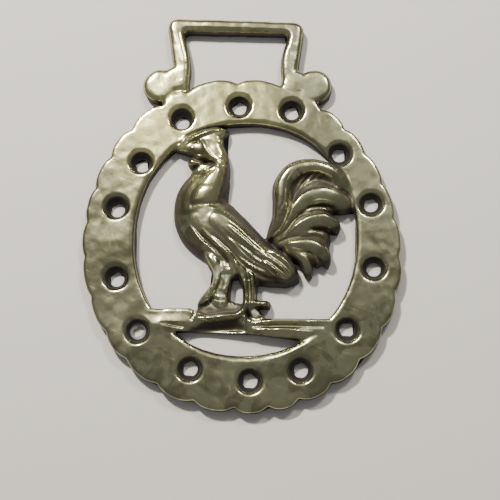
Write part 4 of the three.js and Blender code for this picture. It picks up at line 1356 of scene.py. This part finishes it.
def old_brass():
    material = bpy.data.materials.new("old brass")
    material.use_nodes = True
    tree = material.node_tree
    shader = tree.nodes["Principled BSDF"]
    masks = brass_masks(tree)
    satin = SATIN
    for name, share in ROUGHER.items():
        satin = plus(tree, satin, times(tree, masks[name], share))
    covered = larger(tree, masks["tarnish_and_shade"], masks["residue"])
    dull = larger(tree, covered, times(tree, masks["film"], FILM_DULLNESS))
    sources = {
        "Base Color": layered_colour(tree, masks),
        "Roughness": plus(tree, satin, times(tree, dull, DULLNESS)),
        "Metallic": minus(tree, 1, times(tree, covered, LOST_METAL)),
        "Normal": grain_bump(tree, masks["scratched"]),
    }
    for label, source in sources.items():
        tree.links.new(source, shader.inputs[label])
    return material


cast.data.materials.clear()
cast.data.materials.append(old_brass())
print("material", cast.data.materials[0].name)

# %% [markdown]
# The brass lies on a plain pale floor, which is a single square. It is lowered by a hair, so that
# it doesn't share its surface with the flat back.

# %% Floor
FLOOR_SIZE = 1.6
FLOOR_DROP = 0.02
FLOOR_COLOUR, FLOOR_ROUGHNESS = (0.66, 0.63, 0.59, 1), 0.8
floor_bm = bmesh.new()
bmesh.ops.create_grid(floor_bm, x_segments=1, y_segments=1, size=FLOOR_SIZE / 2)
bmesh.ops.translate(floor_bm, verts=floor_bm.verts, vec=(0, 0, -FLOOR_DROP * MM))
floor = to_object(floor_bm, "floor")
floor_material = bpy.data.materials.new("pale floor")
floor_material.use_nodes = True
floor_shader = floor_material.node_tree.nodes["Principled BSDF"]
floor_shader.inputs["Base Color"].default_value = FLOOR_COLOUR
floor_shader.inputs["Roughness"].default_value = FLOOR_ROUGHNESS
floor.data.materials.append(floor_material)
print("floor", FLOOR_SIZE, "m wide")

# %% [markdown]
# The camera looks down almost straight, from about 21 cm above the table, and it is tilted about
# a line that runs nearly along the picture's width.

# %% Camera
CAMERA_PLACE = Vector((16.5077, -61.5112, 214.8004)) * MM
CAMERA_TILT = math.radians(14)
CAMERA_AXIS = Vector((0.963, 0.268, 0))
CAMERA_LENS, CAMERA_SENSOR = 69.62, 36
CAMERA_NEAREST = 0.01
camera_data = bpy.data.cameras.new("camera")
camera_data.sensor_width = CAMERA_SENSOR
camera_data.lens = CAMERA_LENS
camera_data.clip_start = CAMERA_NEAREST
camera = bpy.data.objects.new("camera", camera_data)
camera.matrix_world = Matrix.Translation(CAMERA_PLACE) @ Matrix.Rotation(CAMERA_TILT, 4, CAMERA_AXIS)
bpy.context.scene.collection.objects.link(camera)
bpy.context.scene.camera = camera
print("camera at", [round(1000 * value) for value in CAMERA_PLACE], "mm")

# %% [markdown]
# Metal shows what surrounds it, so the light is mostly a question of what the brass can see. A
# small strong lamp at the upper left, the key, draws the highlights and sets the direction of the
# shadows. A weaker lamp at the upper right is the window. A faint glow stands where the upper left
# of the flat ring mirrors it, and a broad dim panel beyond the loop lifts the rest of the flat
# metal. The room is dim, which keeps the flanks dark. A row of the list holds a lamp's name, its
# place, its size, its power and its colour, and every lamp points at the brass.

# %% Light
ROOM_COLOUR, ROOM_LIGHT = (0.96, 0.97, 1, 1), 0.26
LIGHTS = [
    ("key", (-0.18, 0.31, 0.42), 0.05, 4.8, (1, 0.97, 0.89)),
    ("window", (0.17, 0.3, 0.38), 0.08, 1.2, (1, 0.98, 0.92)),
    ("glow", (-0.1, 0.2, 0.48), 0.13, 0.045, (1, 0.98, 0.9)),
    ("panel", (0.05, 0.27, 0.42), 0.32, 0.15, (1, 1, 0.96)),
]
world = bpy.data.worlds.new("studio")
world.use_nodes = True
background = world.node_tree.nodes["Background"]
background.inputs["Color"].default_value = ROOM_COLOUR
background.inputs["Strength"].default_value = ROOM_LIGHT
bpy.context.scene.world = world


def soft_light(name, place, size, power, colour):
    data = bpy.data.lights.new(name, "AREA")
    data.energy = power
    data.size = size
    data.color = colour
    light = bpy.data.objects.new(name, data)
    aim = (-Vector(place)).to_track_quat("-Z", "Y").to_matrix().to_4x4()
    light.matrix_world = Matrix.Translation(place) @ aim
    bpy.context.scene.collection.objects.link(light)
    return light


lights = [soft_light(*values) for values in LIGHTS]
print(len(lights), "lights")
